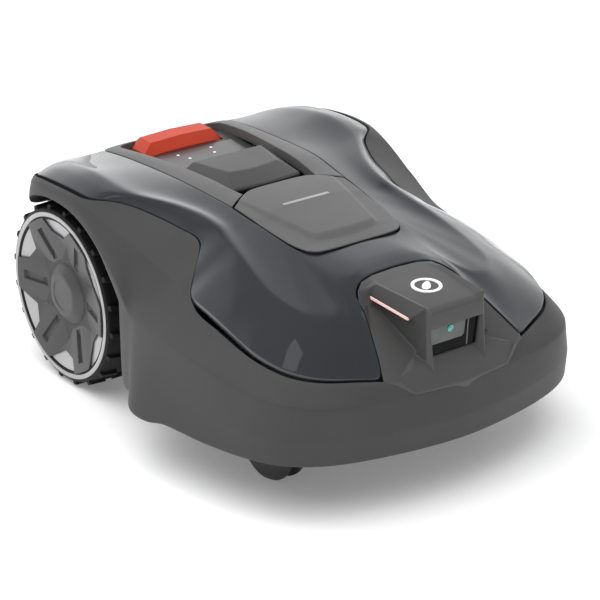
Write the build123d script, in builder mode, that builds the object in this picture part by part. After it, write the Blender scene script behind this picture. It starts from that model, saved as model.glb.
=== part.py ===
"""Robotic lawn mower: floating outer body, chassis, drive wheels, casters and cutting unit.

Frame: origin on the ground under the middle of the length, +Z up, -Y the nose, +X the left side.
All sizes are in millimetres.
"""
import os
from math import cos, radians, sin

from build123d import *

os.makedirs("parts", exist_ok=True)

# Outer body -------------------------------------------------------------------------------
TAIL_Y = 285.0             # rear of the tail apron
SKIRT_Z = 60.0             # bottom edge of the skirt
WALL = 3.0                 # moulded wall thickness
SEAM = 0.8                 # gap at the seams between covers
PANEL_REAR_Y = 206.0       # rear end of the hood panels
HOOD_REAR_Y = 214.0        # rear end of the crowned hood
CLEAR = 0.3                # gap between curved faces of different bodies
RIM_TOP_Z = 134.0          # top level of the skirt, under the hood's lip
CUT_PAST = 20.0            # how far an inner solid runs past the open underside
HOOD_FOOT_Z = 112.0        # bottom of the hood's flared sides
FLARE_DROP = 14.0          # height of the flare below the side crease
TAIL_HALF = 114.0          # half width of the tail apron
TAIL_FOOT_Z = 74.0
TAIL_CORNER_R = 20.0
ARCH_IN_X = 118.0          # inner side of the wheel arches
ARCH_DEPTH = 120.0

# Wheels -----------------------------------------------------------------------------------
AXLE_Y = 141.0
TYRE_R = 94.5
TREAD_R = 90.5
RIM_R = 76.0
DISC_R = 86.0
LUGS = 20
SHAFT_R = 6.0
FIT = 0.05                 # radial clearance of running fits

# Casters ----------------------------------------------------------------------------------
CASTER_X = 116.0
CASTER_Y = -171.0
TRAIL = 25.0
CASTER_R = 36.0
CASTER_HALF = 20.0         # half width of the caster wheel
CASTER_SWING = TRAIL + CASTER_R + 4.0
ARM_HALF = 5.0             # half thickness of the caster arm

# Chassis ----------------------------------------------------------------------------------
TUB_Z = 66.0
SPLIT_Z = 118.0
SEAL_T = 2.0
LID_FRONT_Z = 130.0
LID_REAR_Z = 168.0
LID_STEP_Y = -60.0

# Cutting unit -----------------------------------------------------------------------------
CUT_Y = -20.0
BLADE_TIP_R = 110.0
PIVOT_R = 76.0
DISC_Z = 52.0
MOTOR_R = 29.0
ROD_X = 44.0
KNOB_Y = 67.0

# Top controls -----------------------------------------------------------------------------
TRAY_Z = 205.0
BUTTON_HALF = 46.0
BUTTON_Y0 = 168.0
BUTTON_Y1 = 204.0
HINGE_Y = 104.0
HINGE_Z = 211.0
POST_PLACES = [(-78.0, -112.0, LID_FRONT_Z), (78.0, -112.0, LID_FRONT_Z),
               (-84.0, 182.0, LID_REAR_Z), (84.0, 182.0, LID_REAR_Z)]


def save(piece, label):
    """Label one finished piece and write its STEP file."""
    piece.label = label
    export_step(piece, f"parts/{label}.step")


def both_sides(half):
    """Close a half outline, given from the nose to the tail, into a mirrored polygon."""
    left = [(-x, y) for x, y in reversed(half) if x > 0]
    return half + left


def prism(outline, low, high, grow=0.0):
    """An upright prism over a closed outline, grown outwards by a gap."""
    with BuildPart() as block:
        with BuildSketch(Plane.XY.offset(low)):
            with BuildLine():
                Polyline(*outline, close=True)
            make_face()
            if grow:
                offset(amount=grow, kind=Kind.INTERSECTION)
        extrude(amount=high - low)
    return block.part


def rod(centre, radius, low, high):
    """An upright solid cylinder."""
    with BuildPart() as bar:
        with BuildSketch(Plane.XY.offset(low)):
            with Locations(centre):
                Circle(radius)
        extrude(amount=high - low)
    return bar.part


def cross_rod(y, z, radius, x0, x1):
    """A solid cylinder along X."""
    with BuildPart() as bar:
        with BuildSketch(Plane.YZ.offset(x0)):
            with Locations((y, z)):
                Circle(radius)
        extrude(amount=x1 - x0)
    return bar.part


def block(x0, x1, y0, y1, z0, z1):
    """A box between two corners."""
    with BuildPart() as box:
        with BuildSketch(Plane.XY.offset(z0)):
            with Locations(((x0 + x1) / 2, (y0 + y1) / 2)):
                Rectangle(x1 - x0, y1 - y0)
        extrude(amount=z1 - z0)
    return box.part


# ------------------------------------------------------------------------------------------
# Outer body hull: a skirt, a crowned hood over it, and a tail apron
# ------------------------------------------------------------------------------------------
# Skirt levels: height, the half outline from the nose round to the wheel arch, and the heel behind it.
SKIRT_LEVELS = [
    (SKIRT_Z, [(0, -281), (72, -273), (145, -249), (181, -213), (199, -154), (209, -85), (215, -55)],
     (193, -22)),
    (86.0, [(0, -285), (72, -277), (148, -251), (183, -210), (194, -152), (201, -85), (204, -42)],
     (190, -16)),
    (118.0, [(0, -284), (72, -276), (140, -254), (176, -213), (188, -154), (191, -80), (190, -25)],
     (176, -4)),
    (RIM_TOP_Z, [(0, -276), (70, -266), (130, -243), (162, -206), (178, -150), (183, -85), (180, -20)],
     (168, 0)),
]
# Hood stations: y, then (x, z) of the panel edge, haunch, seam and fender crease, then the flare below it.
HOOD_STATIONS = [
    (-270.0, (30, 140.5), (50, 139), (66, 137.5), (76, 136), 1.0),
    (-246.0, (40, 157), (70, 152), (95, 145), (112, 139), 2.0),
    (-216.0, (50, 173), (95, 163), (125, 153), (148, 142), 6.0),
    (-174.0, (55, 188), (105, 175), (140, 160), (160.5, 150), 11.0),
    (-119.0, (58, 198), (110, 185), (145, 171), (161, 162), 16.0),
    (-76.0, (63, 203.5), (108, 194), (143, 178), (160, 167.5), 18.0),
    (-35.0, (66.5, 209.5), (100, 207), (120, 197), (158.5, 175), 20.0),
    (2.0, (69, 214), (102, 215), (125, 204.5), (165, 188.5), 18.0),
    (42.0, (73.5, 217.5), (124, 219.5), (138, 211), (172, 201.5), 11.0),
    (62.0, (75, 218), (134, 221.5), (149, 214.5), (175, 207.5), 8.0),
    (86.0, (75.5, 218), (140, 224.5), (172.5, 216), (178, 212.5), 4.0),
    (122.0, (76, 216.5), (140, 227), (174, 216), (179.5, 214.5), 2.5),
    (170.0, (77, 212), (137.5, 220.5), (172.5, 212), (176.5, 209.5), 2.5),
    (HOOD_REAR_Y, (77, 206.5), (125, 211), (155, 205), (164, 200), 2.0),
]


def pull_in(point, inset):
    """Move an outline point towards the middle of the skirt."""
    toward = Vector(point[0], point[1] + 90.0)
    moved = toward * (1 - inset / toward.length)
    return (moved.X, moved.Y - 90.0)


def skirt_block(inset):
    """The solid inside the skirt's outer face, pulled in by the wall thickness."""
    with BuildPart() as skirt:
        for level, half, heel in SKIRT_LEVELS:
            place = level
            if inset and level == SKIRT_Z:
                place = level - CUT_PAST
            if inset and level == RIM_TOP_Z:
                place = level - inset
            with BuildSketch(Plane.XY.offset(place)):
                with BuildLine():
                    right = [pull_in(p, inset) for p in half]
                    left = [(-x, y) for x, y in reversed(right)]
                    rear = [pull_in(heel, inset), (100.0, -6.0 - inset)]
                    Spline(*(left[:-1] + right))
                    Polyline(right[-1], *rear, *[(-x, y) for x, y in reversed(rear)], left[0])
                make_face()
        loft(ruled=True)
    return skirt.part


def hood_block(inset):
    """The solid under the hood's top, pulled in by the wall thickness."""
    with BuildPart() as hood:
        for count, (y, *top, flare) in enumerate(HOOD_STATIONS):
            last = count in (0, len(HOOD_STATIONS) - 1)
            place = y - inset * (1 if y > 0 else -1) if last else y
            foot = HOOD_FOOT_Z - (CUT_PAST if inset else 0.0)
            right = [(x, z - inset) for x, z in top]
            side, crease = right.pop()
            side = side - inset
            right += [(side, crease), (side + flare, crease - FLARE_DROP), (side + flare, foot)]
            left = [(-x, z) for x, z in reversed(right)]
            with BuildSketch(Plane.XZ.offset(-place)):
                with BuildLine():
                    Polyline(*left, *right, close=True)
                make_face()
        loft(ruled=True)
    return hood.part


def tail_block(inset):
    """The solid inside the tail apron between the wheels."""
    with BuildPart() as tail:
        with BuildSketch(Plane.YZ.offset(inset - TAIL_HALF)):
            with BuildLine():
                foot = TAIL_FOOT_Z - (CUT_PAST if inset else 0.0)
                Polyline((190.0, foot), (190.0, 200.0 - inset), (206.0, 200.0 - inset),
                         (238.0, 186.0 - inset), (266.0 - inset, 158.0), (281.0 - inset, 118.0),
                         (TAIL_Y - inset, 90.0), (TAIL_Y - inset, foot), close=True)
            make_face()
        extrude(amount=2 * (TAIL_HALF - inset))
        rear_posts = tail.edges().filter_by(Axis.Z).sort_by(Axis.Y)[-2:]
        fillet(rear_posts, radius=TAIL_CORNER_R)
    return tail.part


def hull(inset):
    """The whole body, pulled in by the wall thickness."""
    with BuildPart() as whole:
        add(skirt_block(inset))
        add(hood_block(inset))
        add(tail_block(inset))
    return whole.part


ARCH = [(-2, 20), (-4, 118), (14, 146), (42, 170), (75, 187), (112, 195), (141, 196.5),
        (172, 194), (200, 184), (226, 160), (240, 130), (240, 20)]


def arch_cut(side):
    """The wheel arch opening, cut from beside the chassis out through the fender."""
    with BuildPart() as arch:
        with BuildSketch(Plane.YZ.offset(ARCH_IN_X * side)):
            with BuildLine():
                Polyline(*ARCH, close=True)
            make_face()
        extrude(amount=ARCH_DEPTH * side)
    return arch.part


COVER_PLAN = both_sides([(0, -271), (80, -262), (106, -247), (128, -236), (148, -216), (156, -195),
                         (160, -175), (161, -122), (160, -80), (150, -62), (126, -41), (118, -27),
                         (129, 20), (149, 62), (160, 70), (169, 79), (173, 92), (174, 132), (172, 168),
                         (163, 196), (145, PANEL_REAR_Y), (0, PANEL_REAR_Y)])
PANEL_PLAN = both_sides([(0, -124), (36, -124), (51, -119), (60, -98), (65, -57), (68, -6), (74, 48),
                         (76, 100), (77, PANEL_REAR_Y - SEAM), (0, PANEL_REAR_Y - SEAM)])
TRAY_PLAN = both_sides([(0, 8), (36, 8), (42, 18), (54, 94), (60, 150), (62, PANEL_REAR_Y - SEAM),
                        (0, PANEL_REAR_Y - SEAM)])
POD_PLAN = both_sides([(0, -290), (55, -290), (81, -262), (60, -215), (49, -177), (0, -174)])
LOW = 20.0
HIGH = 260.0

with BuildPart() as shell:
    add(hull(0.0))
    add(hull(WALL), mode=Mode.SUBTRACT)
    for side in (-1, 1):
        add(arch_cut(side), mode=Mode.SUBTRACT)
    # open the inside between the skirt's heel and the tail
    add(block(-118, 118, -40, 200, LOW, 175), mode=Mode.SUBTRACT)

inside = hull(WALL)
pod_space = prism(POD_PLAN, 113.0, HIGH, SEAM)

with BuildPart() as body_skirt:
    add(shell.part)
    add(prism(COVER_PLAN, LOW, HIGH), mode=Mode.SUBTRACT)
    add(pod_space, mode=Mode.SUBTRACT)
save(body_skirt.part, "body_skirt")

with BuildPart() as top_cover:
    add(shell.part)
    add(prism(COVER_PLAN, 125.0, HIGH, -SEAM), mode=Mode.INTERSECT)
    add(prism(PANEL_PLAN, LOW, HIGH, SEAM), mode=Mode.SUBTRACT)
    add(pod_space, mode=Mode.SUBTRACT)
save(top_cover.part, "top_cover")

# Side rails of the hood's middle, either side of the tray.
with BuildPart() as centre_panel:
    add(shell.part)
    add(prism(PANEL_PLAN, 150.0, HIGH), mode=Mode.INTERSECT)
    add(prism(TRAY_PLAN, LOW, HIGH, SEAM), mode=Mode.SUBTRACT)
    add(block(-90, 90, -140, 0, LOW, HIGH), mode=Mode.SUBTRACT)
save(centre_panel.part, "centre_panel")

# Hatch over the front of the hood's middle.
with BuildPart() as front_hatch:
    add(shell.part)
    add(prism(PANEL_PLAN, 150.0, HIGH), mode=Mode.INTERSECT)
    add(block(-90, 90, -SEAM, 260, LOW, HIGH), mode=Mode.SUBTRACT)
    add(pod_space, mode=Mode.SUBTRACT)
save(front_hatch.part, "front_hatch")

# ------------------------------------------------------------------------------------------
# Control tray, keypad, stop button and cutting-height lid
# ------------------------------------------------------------------------------------------
BUTTON_GAP = 0.6
POCKET_FLOOR_Z = 181.0
KNOB_HOLE_R = 33.0
POCKET_WALL = 3.6
HINGE_PIN_R = 1.5
KNUCKLE_R = 3.9

with BuildPart() as recess_tray:
    add(prism(TRAY_PLAN, TRAY_Z - WALL, TRAY_Z))
    # pocket that guides the stop button and carries its springs
    pocket_half = BUTTON_HALF + POCKET_WALL
    add(block(-pocket_half, pocket_half, BUTTON_Y0 - POCKET_WALL, BUTTON_Y1 + 1.0,
              POCKET_FLOOR_Z - WALL, TRAY_Z))
    add(block(-BUTTON_HALF - BUTTON_GAP, BUTTON_HALF + BUTTON_GAP, BUTTON_Y0 - BUTTON_GAP,
              BUTTON_Y1 - 2.0 + BUTTON_GAP, POCKET_FLOOR_Z, TRAY_Z + 10), mode=Mode.SUBTRACT)
    add(rod((0, KNOB_Y), KNOB_HOLE_R, LOW, HIGH), mode=Mode.SUBTRACT)
    # ears that hold the lid's hinge pin
    for side in (-1, 1):
        ear = 32.0 * side
        add(block(ear - 1.5, ear + 1.5, HINGE_Y - 3.5, HINGE_Y + 3.5, TRAY_Z - 1, HINGE_Z + 3))
    add(cross_rod(HINGE_Y, HINGE_Z, HINGE_PIN_R, -40, 40), mode=Mode.SUBTRACT)
save(recess_tray.part, "recess_tray")

with BuildPart() as lid_pin:
    add(cross_rod(HINGE_Y, HINGE_Z, HINGE_PIN_R, -33.5, 33.5))
save(lid_pin.part, "lid_hinge_pin")

with BuildPart() as keypad_panel:
    add(prism([(-46, 112), (46, 112), (50, 160), (-50, 160)], TRAY_Z, TRAY_Z + 1.2))
save(keypad_panel.part, "keypad_panel")

with BuildPart() as keypad_board:
    add(block(-40, 40, 114, 158, TRAY_Z - WALL - 1.6, TRAY_Z - WALL))
    with BuildSketch(Plane.XY.offset(TRAY_Z - WALL - 4.0)):
        with GridLocations(18, 16, 4, 2):
            with Locations((0, 136)):
                Rectangle(8, 6)
    extrude(amount=2.4)
save(keypad_board.part, "keypad_board")

with BuildPart() as stop_button:
    with BuildSketch(Plane.YZ.offset(-BUTTON_HALF)):
        with BuildLine():
            Polyline((BUTTON_Y0, 196), (BUTTON_Y0, 207), (BUTTON_Y0 + 12, 214), (BUTTON_Y1 - 14, 217.5),
                     (BUTTON_Y1 - 4, 217.0), (BUTTON_Y1 - 2.0, 212), (BUTTON_Y1 - 2.0, 196), close=True)
        make_face()
    extrude(amount=2 * BUTTON_HALF)
    top_ends = stop_button.edges().filter_by(GeomType.LINE).group_by(Axis.Z)[-1]
    chamfer(top_ends.filter_by(Axis.X), length=1.0)
    add(block(-BUTTON_HALF + 3, BUTTON_HALF - 3, BUTTON_Y0 + 3, BUTTON_Y1 - 5, 190, 204), mode=Mode.SUBTRACT)
    with BuildSketch(Plane.XY.offset(199.0)):
        with Locations((-30, 187), (30, 187)):
            Circle(7)
    extrude(amount=6)
save(stop_button.part, "stop_button")

with BuildPart() as stop_springs:
    for side in (-1, 1):
        with BuildLine() as turns:
            Helix(pitch=3.3, height=16.5, radius=4.5, center=(30.0 * side, 187, POCKET_FLOOR_Z + 0.55))
        with BuildSketch(Plane(origin=turns.line @ 0, z_dir=turns.line % 0)):
            Circle(0.5)
        sweep(path=turns.line)
save(stop_springs.part, "stop_springs")

LID_FOOT = [(-36, 28), (36, 28), (48, 99), (-48, 99)]
LID_CROWN = [(-28, 53), (28, 53), (38, 94), (-38, 94)]
LID_FOOT_IN = [(-32, 32), (32, 32), (44, 96), (-44, 96)]
LID_CROWN_IN = [(-25, 56), (25, 56), (34, 91), (-34, 91)]


def frustum(foot, crown, low, high):
    """A solid between two outlines at two heights."""
    with BuildPart() as body:
        for outline, level in ((foot, low), (crown, high)):
            with BuildSketch(Plane.XY.offset(level)):
                with BuildLine():
                    Polyline(*outline, close=True)
                make_face()
        loft(ruled=True)
    return body.part


with BuildPart() as height_lid:
    add(frustum(LID_FOOT, LID_CROWN, TRAY_Z + 1, 220))
    add(frustum(LID_FOOT_IN, LID_CROWN_IN, TRAY_Z + 1, 217.5), mode=Mode.SUBTRACT)
    add(block(-30, 30, 95, HINGE_Y, HINGE_Z - KNUCKLE_R, HINGE_Z + KNUCKLE_R))
    add(cross_rod(HINGE_Y, HINGE_Z, KNUCKLE_R, -30, 30))
    add(cross_rod(HINGE_Y, HINGE_Z, HINGE_PIN_R + FIT, -31, 31), mode=Mode.SUBTRACT)
save(height_lid.part, "height_lid")

# ------------------------------------------------------------------------------------------
# Camera pod on the nose
# ------------------------------------------------------------------------------------------
POD_FOOT = [(-55, -272.5), (55, -272.5), (80, -262), (50, -192), (-50, -192), (-80, -262)]
POD_CROWN = [(-27, -265), (27, -265), (35.5, -263), (47.5, -178), (-47.5, -178), (-35.5, -263)]
POD_FOOT_IN = [(-52, -268.5), (52, -268.5), (75, -259), (48, -195), (-48, -195), (-75, -259)]
POD_CROWN_IN = [(-25, -262), (25, -262), (33, -260), (44.5, -181), (-44.5, -181), (-33, -260)]
POD_Z0 = 134.0
POD_Z1 = 184.0
STRIP = [(41, -240), (44.5, -240), (50.5, -190), (47, -190)]

with BuildPart() as pod_housing:
    # tongue over the skirt's lip, then the body of the pod
    add(prism(POD_FOOT, 116.0, POD_Z0))
    add(block(-90, 90, -258, -180, 110, POD_Z0), mode=Mode.SUBTRACT)
    add(frustum(POD_FOOT, POD_CROWN, POD_Z0, POD_Z1))
    add(prism(POD_FOOT_IN, 110.0, POD_Z0), mode=Mode.SUBTRACT)
    add(frustum(POD_FOOT_IN, POD_CROWN_IN, POD_Z0, POD_Z1 - 2.5), mode=Mode.SUBTRACT)
    add(block(-27, 27, -285, -255, 142, 167), mode=Mode.SUBTRACT)
    for side in (-1, 1):
        add(prism([(x * side, y) for x, y in STRIP], 175.8, 180.2, 0.2), mode=Mode.SUBTRACT)
save(pod_housing.part, "pod_housing")

with BuildPart() as pod_top:
    add(prism([(-27, -265.5), (27, -265.5), (36, -263.5), (48.5, -176.5), (-48.5, -176.5), (-36, -263.5)],
              POD_Z1, POD_Z1 + 4))
    chamfer(pod_top.faces().sort_by(Axis.Z)[-1].edges(), length=1.2)
save(pod_top.part, "pod_top")

with BuildPart() as pod_emblem:
    with BuildSketch(Plane.XY.offset(POD_Z1 + 4)):
        with Locations((0, -222)):
            Circle(14)
            Circle(10.5, mode=Mode.SUBTRACT)
    extrude(amount=0.6)
save(pod_emblem.part, "pod_emblem")

with BuildPart() as light_strips:
    for side in (-1, 1):
        add(prism([(x * side, y) for x, y in STRIP], 176.0, 180.0))
save(light_strips.part, "light_strips")

with BuildPart() as camera_window:
    add(block(-31, 31, -263, -261, 139.5, 169.5))
save(camera_window.part, "camera_window")

with BuildPart() as camera_module:
    add(block(-22, 22, -246, -234, 144, 166))
    with BuildSketch(Plane.XZ.offset(246.0)):
        with Locations((-2, 155)):
            Circle(8)
    extrude(amount=8.0)
    with BuildSketch(Plane.XZ.offset(254.0)):
        with Locations((-2, 155)):
            Circle(5.5)
    extrude(amount=-3.0, mode=Mode.SUBTRACT)
save(camera_module.part, "camera_module")

with BuildPart() as camera_lens:
    with BuildSketch(Plane.XZ.offset(251.0)):
        with Locations((-2, 155)):
            Circle(5.5)
    extrude(amount=5.0)
save(camera_lens.part, "camera_lens")

# ------------------------------------------------------------------------------------------
# Sprung posts between the chassis and the outer body
# ------------------------------------------------------------------------------------------
POST_LEN = 20.0
POST_R = 4.5

with BuildPart() as float_posts:
    for x, y, base in POST_PLACES:
        add(rod((x, y), 9.0, base + CLEAR, base + 3.3))
        add(rod((x, y), POST_R, base + 3.3, base + POST_LEN))
save(float_posts.part, "float_posts")

with BuildPart() as post_boots:
    for x, y, base in POST_PLACES:
        with BuildSketch(Plane.XZ.offset(-y)):
            with BuildLine():
                Polyline((x + POST_R, base + 3.3), (x + 9, base + 3.3), (x + 7.5, base + 5),
                         (x + 8.5, base + 6.5), (x + 6.5, base + 8), (x + 7, base + 9.5),
                         (x + POST_R, base + 10), close=True)
            make_face()
        revolve(axis=Axis((x, y, 0), (0, 0, 1)))
save(post_boots.part, "post_boots")

with BuildPart() as post_sockets:
    for x, y, base in POST_PLACES:
        add(rod((x, y), 9.0, base + 11.5, HIGH))
        add(rod((x, y), POST_R + FIT, base, base + POST_LEN + CLEAR), mode=Mode.SUBTRACT)
    add(inside, mode=Mode.INTERSECT)
save(post_sockets.part, "post_sockets")

# ------------------------------------------------------------------------------------------
# Chassis
# ------------------------------------------------------------------------------------------
TUB_HALF = [(0, -255), (75, -245), (122, -210), (146, -165), (146, -62), (108, -30), (108, 222),
            (92, 240), (0, 240)]
TUB_PLAN = both_sides(TUB_HALF)
REAR_PLAN = both_sides([(0, LID_STEP_Y), (144, LID_STEP_Y), (108, -30), (108, 222), (92, 240), (0, 240)])
BOSSES = [(-60, -232), (60, -232), (-134, -76), (134, -76), (-101, 98), (101, 98), (-101, 204), (101, 204)]
HATCH_SCREWS = [(-60, 162), (60, 162), (-60, 236), (60, 236)]
FLOOR_Z = TUB_Z + WALL
STEM_TOP = SPLIT_Z - 4.0

with BuildPart() as chassis_tub:
    add(prism(TUB_PLAN, TUB_Z, SPLIT_Z))
    for side in (-1, 1):
        add(rod((CASTER_X * side, CASTER_Y), CASTER_SWING, LOW, 86), mode=Mode.SUBTRACT)
    tub_inner = prism(TUB_PLAN, FLOOR_Z, SPLIT_Z + 1, -WALL)
    for side in (-1, 1):
        tub_inner = tub_inner - rod((CASTER_X * side, CASTER_Y), CASTER_SWING + WALL, LOW, 86 + WALL)
    add(tub_inner, mode=Mode.SUBTRACT)
    # bosses for the lid screws, the caster bushes, the board and the guide rods
    for place in BOSSES:
        add(rod(place, 6.0, TUB_Z, SPLIT_Z))
    for side in (-1, 1):
        add(rod((CASTER_X * side, CASTER_Y), 14.0, 86.0, STEM_TOP))
        add(rod((CASTER_X * side, CASTER_Y), 10.0, LOW, SPLIT_Z), mode=Mode.SUBTRACT)
        for y in (-222, -122):
            add(rod((42 * side, y), 4.0, FLOOR_Z, 100))
        add(rod((ROD_X * side, CUT_Y), 4.0, LOW, FLOOR_Z + 1), mode=Mode.SUBTRACT)
        add(cross_rod(AXLE_Y, TYRE_R, 13.0, 100 * side, 112 * side), mode=Mode.SUBTRACT)
    add(rod((0, CUT_Y), MOTOR_R + 7, LOW, SPLIT_Z), mode=Mode.SUBTRACT)
    add(block(-77, 77, 168, 230, LOW, FLOOR_Z + 1), mode=Mode.SUBTRACT)
    for place in BOSSES:
        add(rod(place, 2.0, LOW, SPLIT_Z + 1), mode=Mode.SUBTRACT)
    for place in HATCH_SCREWS:
        add(rod(place, 1.5, LOW, FLOOR_Z + 1), mode=Mode.SUBTRACT)
save(chassis_tub.part, "chassis_tub")

SEAL_TOP = SPLIT_Z + SEAL_T
with BuildPart() as lid_seal:
    add(prism(TUB_PLAN, SPLIT_Z, SEAL_TOP))
    add(prism(TUB_PLAN, LOW, HIGH, -WALL), mode=Mode.SUBTRACT)
save(lid_seal.part, "lid_seal")

with BuildPart() as chassis_lid:
    add(prism(TUB_PLAN, SEAL_TOP, LID_FRONT_Z))
    add(prism(REAR_PLAN, SEAL_TOP, LID_REAR_Z))
    add(prism(TUB_PLAN, LOW, LID_FRONT_Z - WALL, -WALL), mode=Mode.SUBTRACT)
    add(prism(REAR_PLAN, LOW, LID_REAR_Z - WALL, -WALL), mode=Mode.SUBTRACT)
    for place in BOSSES:
        add(rod(place, 6.0, SEAL_TOP, LID_FRONT_Z - 1))
        add(rod(place, 2.0, LOW, SEAL_TOP + 12), mode=Mode.SUBTRACT)
    add(rod((0, KNOB_Y), 14.0, LID_REAR_Z - 10, LID_REAR_Z))
    add(rod((0, KNOB_Y), SHAFT_R + FIT, LOW, HIGH), mode=Mode.SUBTRACT)
save(chassis_lid.part, "chassis_lid")

with BuildPart() as chassis_screws:
    for place in BOSSES:
        add(rod(place, 4.0, TUB_Z - 3, TUB_Z))
        add(rod(place, 2.0, TUB_Z, SEAL_TOP + 10))
    for place in HATCH_SCREWS:
        add(rod(place, 3.0, TUB_Z - 5, TUB_Z - 3))
        add(rod(place, 1.5, TUB_Z - 3, FLOOR_Z))
save(chassis_screws.part, "chassis_screws")

with BuildPart() as battery_hatch:
    add(block(-84, 84, 156, 239, TUB_Z - 3, TUB_Z))
    for place in BOSSES[-2:]:
        add(rod(place, 16.0, LOW, HIGH), mode=Mode.SUBTRACT)
    for place in HATCH_SCREWS:
        add(rod(place, 1.5, LOW, HIGH), mode=Mode.SUBTRACT)
save(battery_hatch.part, "battery_hatch")

with BuildPart() as battery_pack:
    add(block(-74, 74, 171, 228, TUB_Z + 0.5, 108))
    fillet(battery_pack.edges().filter_by(Axis.Z), radius=6.0)
save(battery_pack.part, "battery_pack")

with BuildPart() as main_board:
    add(block(-52, 52, -232, -112, 100, 101.6))
    for x, y, width, depth, tall in ((-22, -200, 30, 24, 3), (24, -196, 18, 18, 3), (-30, -146, 20, 34, 12),
                                     (22, -150, 34, 16, 8)):
        add(block(x - width / 2, x + width / 2, y - depth / 2, y + depth / 2, 101.6, 101.6 + tall))
save(main_board.part, "main_board")

for side, name in ((1, "left"), (-1, "right")):
    with BuildPart() as drive_motor:
        add(cross_rod(AXLE_Y, TYRE_R, 20.0, 12 * side, 66 * side))
        add(block(min(66 * side, 97 * side), max(66 * side, 97 * side), AXLE_Y - 26, AXLE_Y + 25, 71, 116))
        add(cross_rod(AXLE_Y, TYRE_R, SHAFT_R + 0.5, 74 * side, 98 * side), mode=Mode.SUBTRACT)
    save(drive_motor.part, f"drive_motor_{name}")

with BuildPart() as wheel_bearings:
    for side in (-1, 1):
        add(cross_rod(AXLE_Y, TYRE_R, 13.0, 98 * side, 112 * side))
        add(cross_rod(AXLE_Y, TYRE_R, SHAFT_R + FIT, 97 * side, 113 * side), mode=Mode.SUBTRACT)
save(wheel_bearings.part, "wheel_bearings")

with BuildPart() as caster_bushes:
    for side in (-1, 1):
        add(rod((CASTER_X * side, CASTER_Y), 10.0, 86, STEM_TOP))
        add(rod((CASTER_X * side, CASTER_Y), 6.0 + FIT, LOW, HIGH), mode=Mode.SUBTRACT)
save(caster_bushes.part, "caster_bushes")

with BuildPart() as charging_contacts:
    for side in (-1, 1):
        add(block(28 * side - 9, 28 * side + 9, -259, -247, 84, 100))
    add(prism(TUB_PLAN, LOW, HIGH), mode=Mode.SUBTRACT)
save(charging_contacts.part, "charging_contacts")

with BuildPart() as guide_rods:
    for side in (-1, 1):
        add(rod((ROD_X * side, CUT_Y), 4.0, TUB_Z, 146))
save(guide_rods.part, "guide_rods")

# Motor leads, held inside the chassis from the board to each gearbox motor.
LEAD_ROUTE = [(47, -110, 106), (62, -84, 112), (84, -52, 113), (92, -2, 112), (84, 44, 110), (66, 80, 104),
              (56, 120.5, 96)]
LEAD_D = 4.0


def lead_radii(route):
    """The largest smooth arc at each corner: 0.45 of the shorter run over the tangent of half the turn."""
    points = [Vector(*p) for p in route]
    radii = []
    for before, at, after in zip(points, points[1:], points[2:]):
        run_in = at - before
        run_out = after - at
        half_turn = radians(run_in.get_angle(run_out) / 2)
        shorter = min(run_in.length, run_out.length)
        radii.append(0.45 * shorter * cos(half_turn) / sin(half_turn))
    return radii


with BuildPart() as motor_leads:
    for side in (-1, 1):
        route = [(x * side, y, z) for x, y, z in LEAD_ROUTE]
        radii = lead_radii(route)
        with BuildLine() as path:
            FilletPolyline(*route, radius=radii)
        with BuildSketch(Plane(origin=path.line @ 0, z_dir=path.line % 0)):
            Circle(LEAD_D / 2)
        sweep(path=path.line)
save(motor_leads.part, "motor_leads")

# ------------------------------------------------------------------------------------------
# Cutting unit: knob, spindle, carriage, motor, disc, blades and skid plate
# ------------------------------------------------------------------------------------------
with BuildPart() as height_knob:
    add(rod((0, KNOB_Y), 27.0, LID_REAR_Z + 3, 202))
    with BuildSketch(Plane.XY.offset(LID_REAR_Z + 3)):
        with Locations((0, KNOB_Y)):
            with PolarLocations(27.0, 12):
                Circle(3.0)
    extrude(amount=31.0, mode=Mode.SUBTRACT)
    add(block(-17, 17, KNOB_Y - 4.5, KNOB_Y + 4.5, 202, 210))
    add(rod((0, KNOB_Y), SHAFT_R, LOW, 190), mode=Mode.SUBTRACT)
save(height_knob.part, "height_knob")

with BuildPart() as height_spindle:
    add(rod((0, KNOB_Y), SHAFT_R, FLOOR_Z + 1, 190))
save(height_spindle.part, "height_spindle")

MOTOR_Z0 = 70.0
MOTOR_Z1 = 140.0
COLLAR_Z = 101.0
with BuildPart() as cutter_carriage:
    add(rod((0, CUT_Y), MOTOR_R + 6, COLLAR_Z, COLLAR_Z + 12))
    add(block(-ROD_X, ROD_X, CUT_Y - 5, CUT_Y + 5, COLLAR_Z, COLLAR_Z + 12))
    add(block(-10, 10, CUT_Y, KNOB_Y, COLLAR_Z, COLLAR_Z + 12))
    add(rod((0, KNOB_Y), 11.0, COLLAR_Z, COLLAR_Z + 12))
    for side in (-1, 1):
        add(rod((ROD_X * side, CUT_Y), 8.0, COLLAR_Z, COLLAR_Z + 12))
        add(rod((ROD_X * side, CUT_Y), 4.0 + FIT, LOW, HIGH), mode=Mode.SUBTRACT)
    add(rod((0, CUT_Y), MOTOR_R, LOW, HIGH), mode=Mode.SUBTRACT)
    add(rod((0, KNOB_Y), SHAFT_R + FIT, LOW, HIGH), mode=Mode.SUBTRACT)
save(cutter_carriage.part, "cutter_carriage")

MOTOR_SHAFT_R = 4.0
with BuildPart() as cutter_motor:
    add(rod((0, CUT_Y), MOTOR_R, MOTOR_Z0, MOTOR_Z1))
    chamfer(cutter_motor.edges().filter_by(GeomType.CIRCLE), length=2.0)
    add(rod((0, CUT_Y), MOTOR_SHAFT_R + FIT, LOW, 86), mode=Mode.SUBTRACT)
save(cutter_motor.part, "cutter_motor")

with BuildPart() as cutter_shaft:
    add(rod((0, CUT_Y), MOTOR_SHAFT_R, 40.5, 85.5))
save(cutter_shaft.part, "cutter_shaft")

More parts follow.
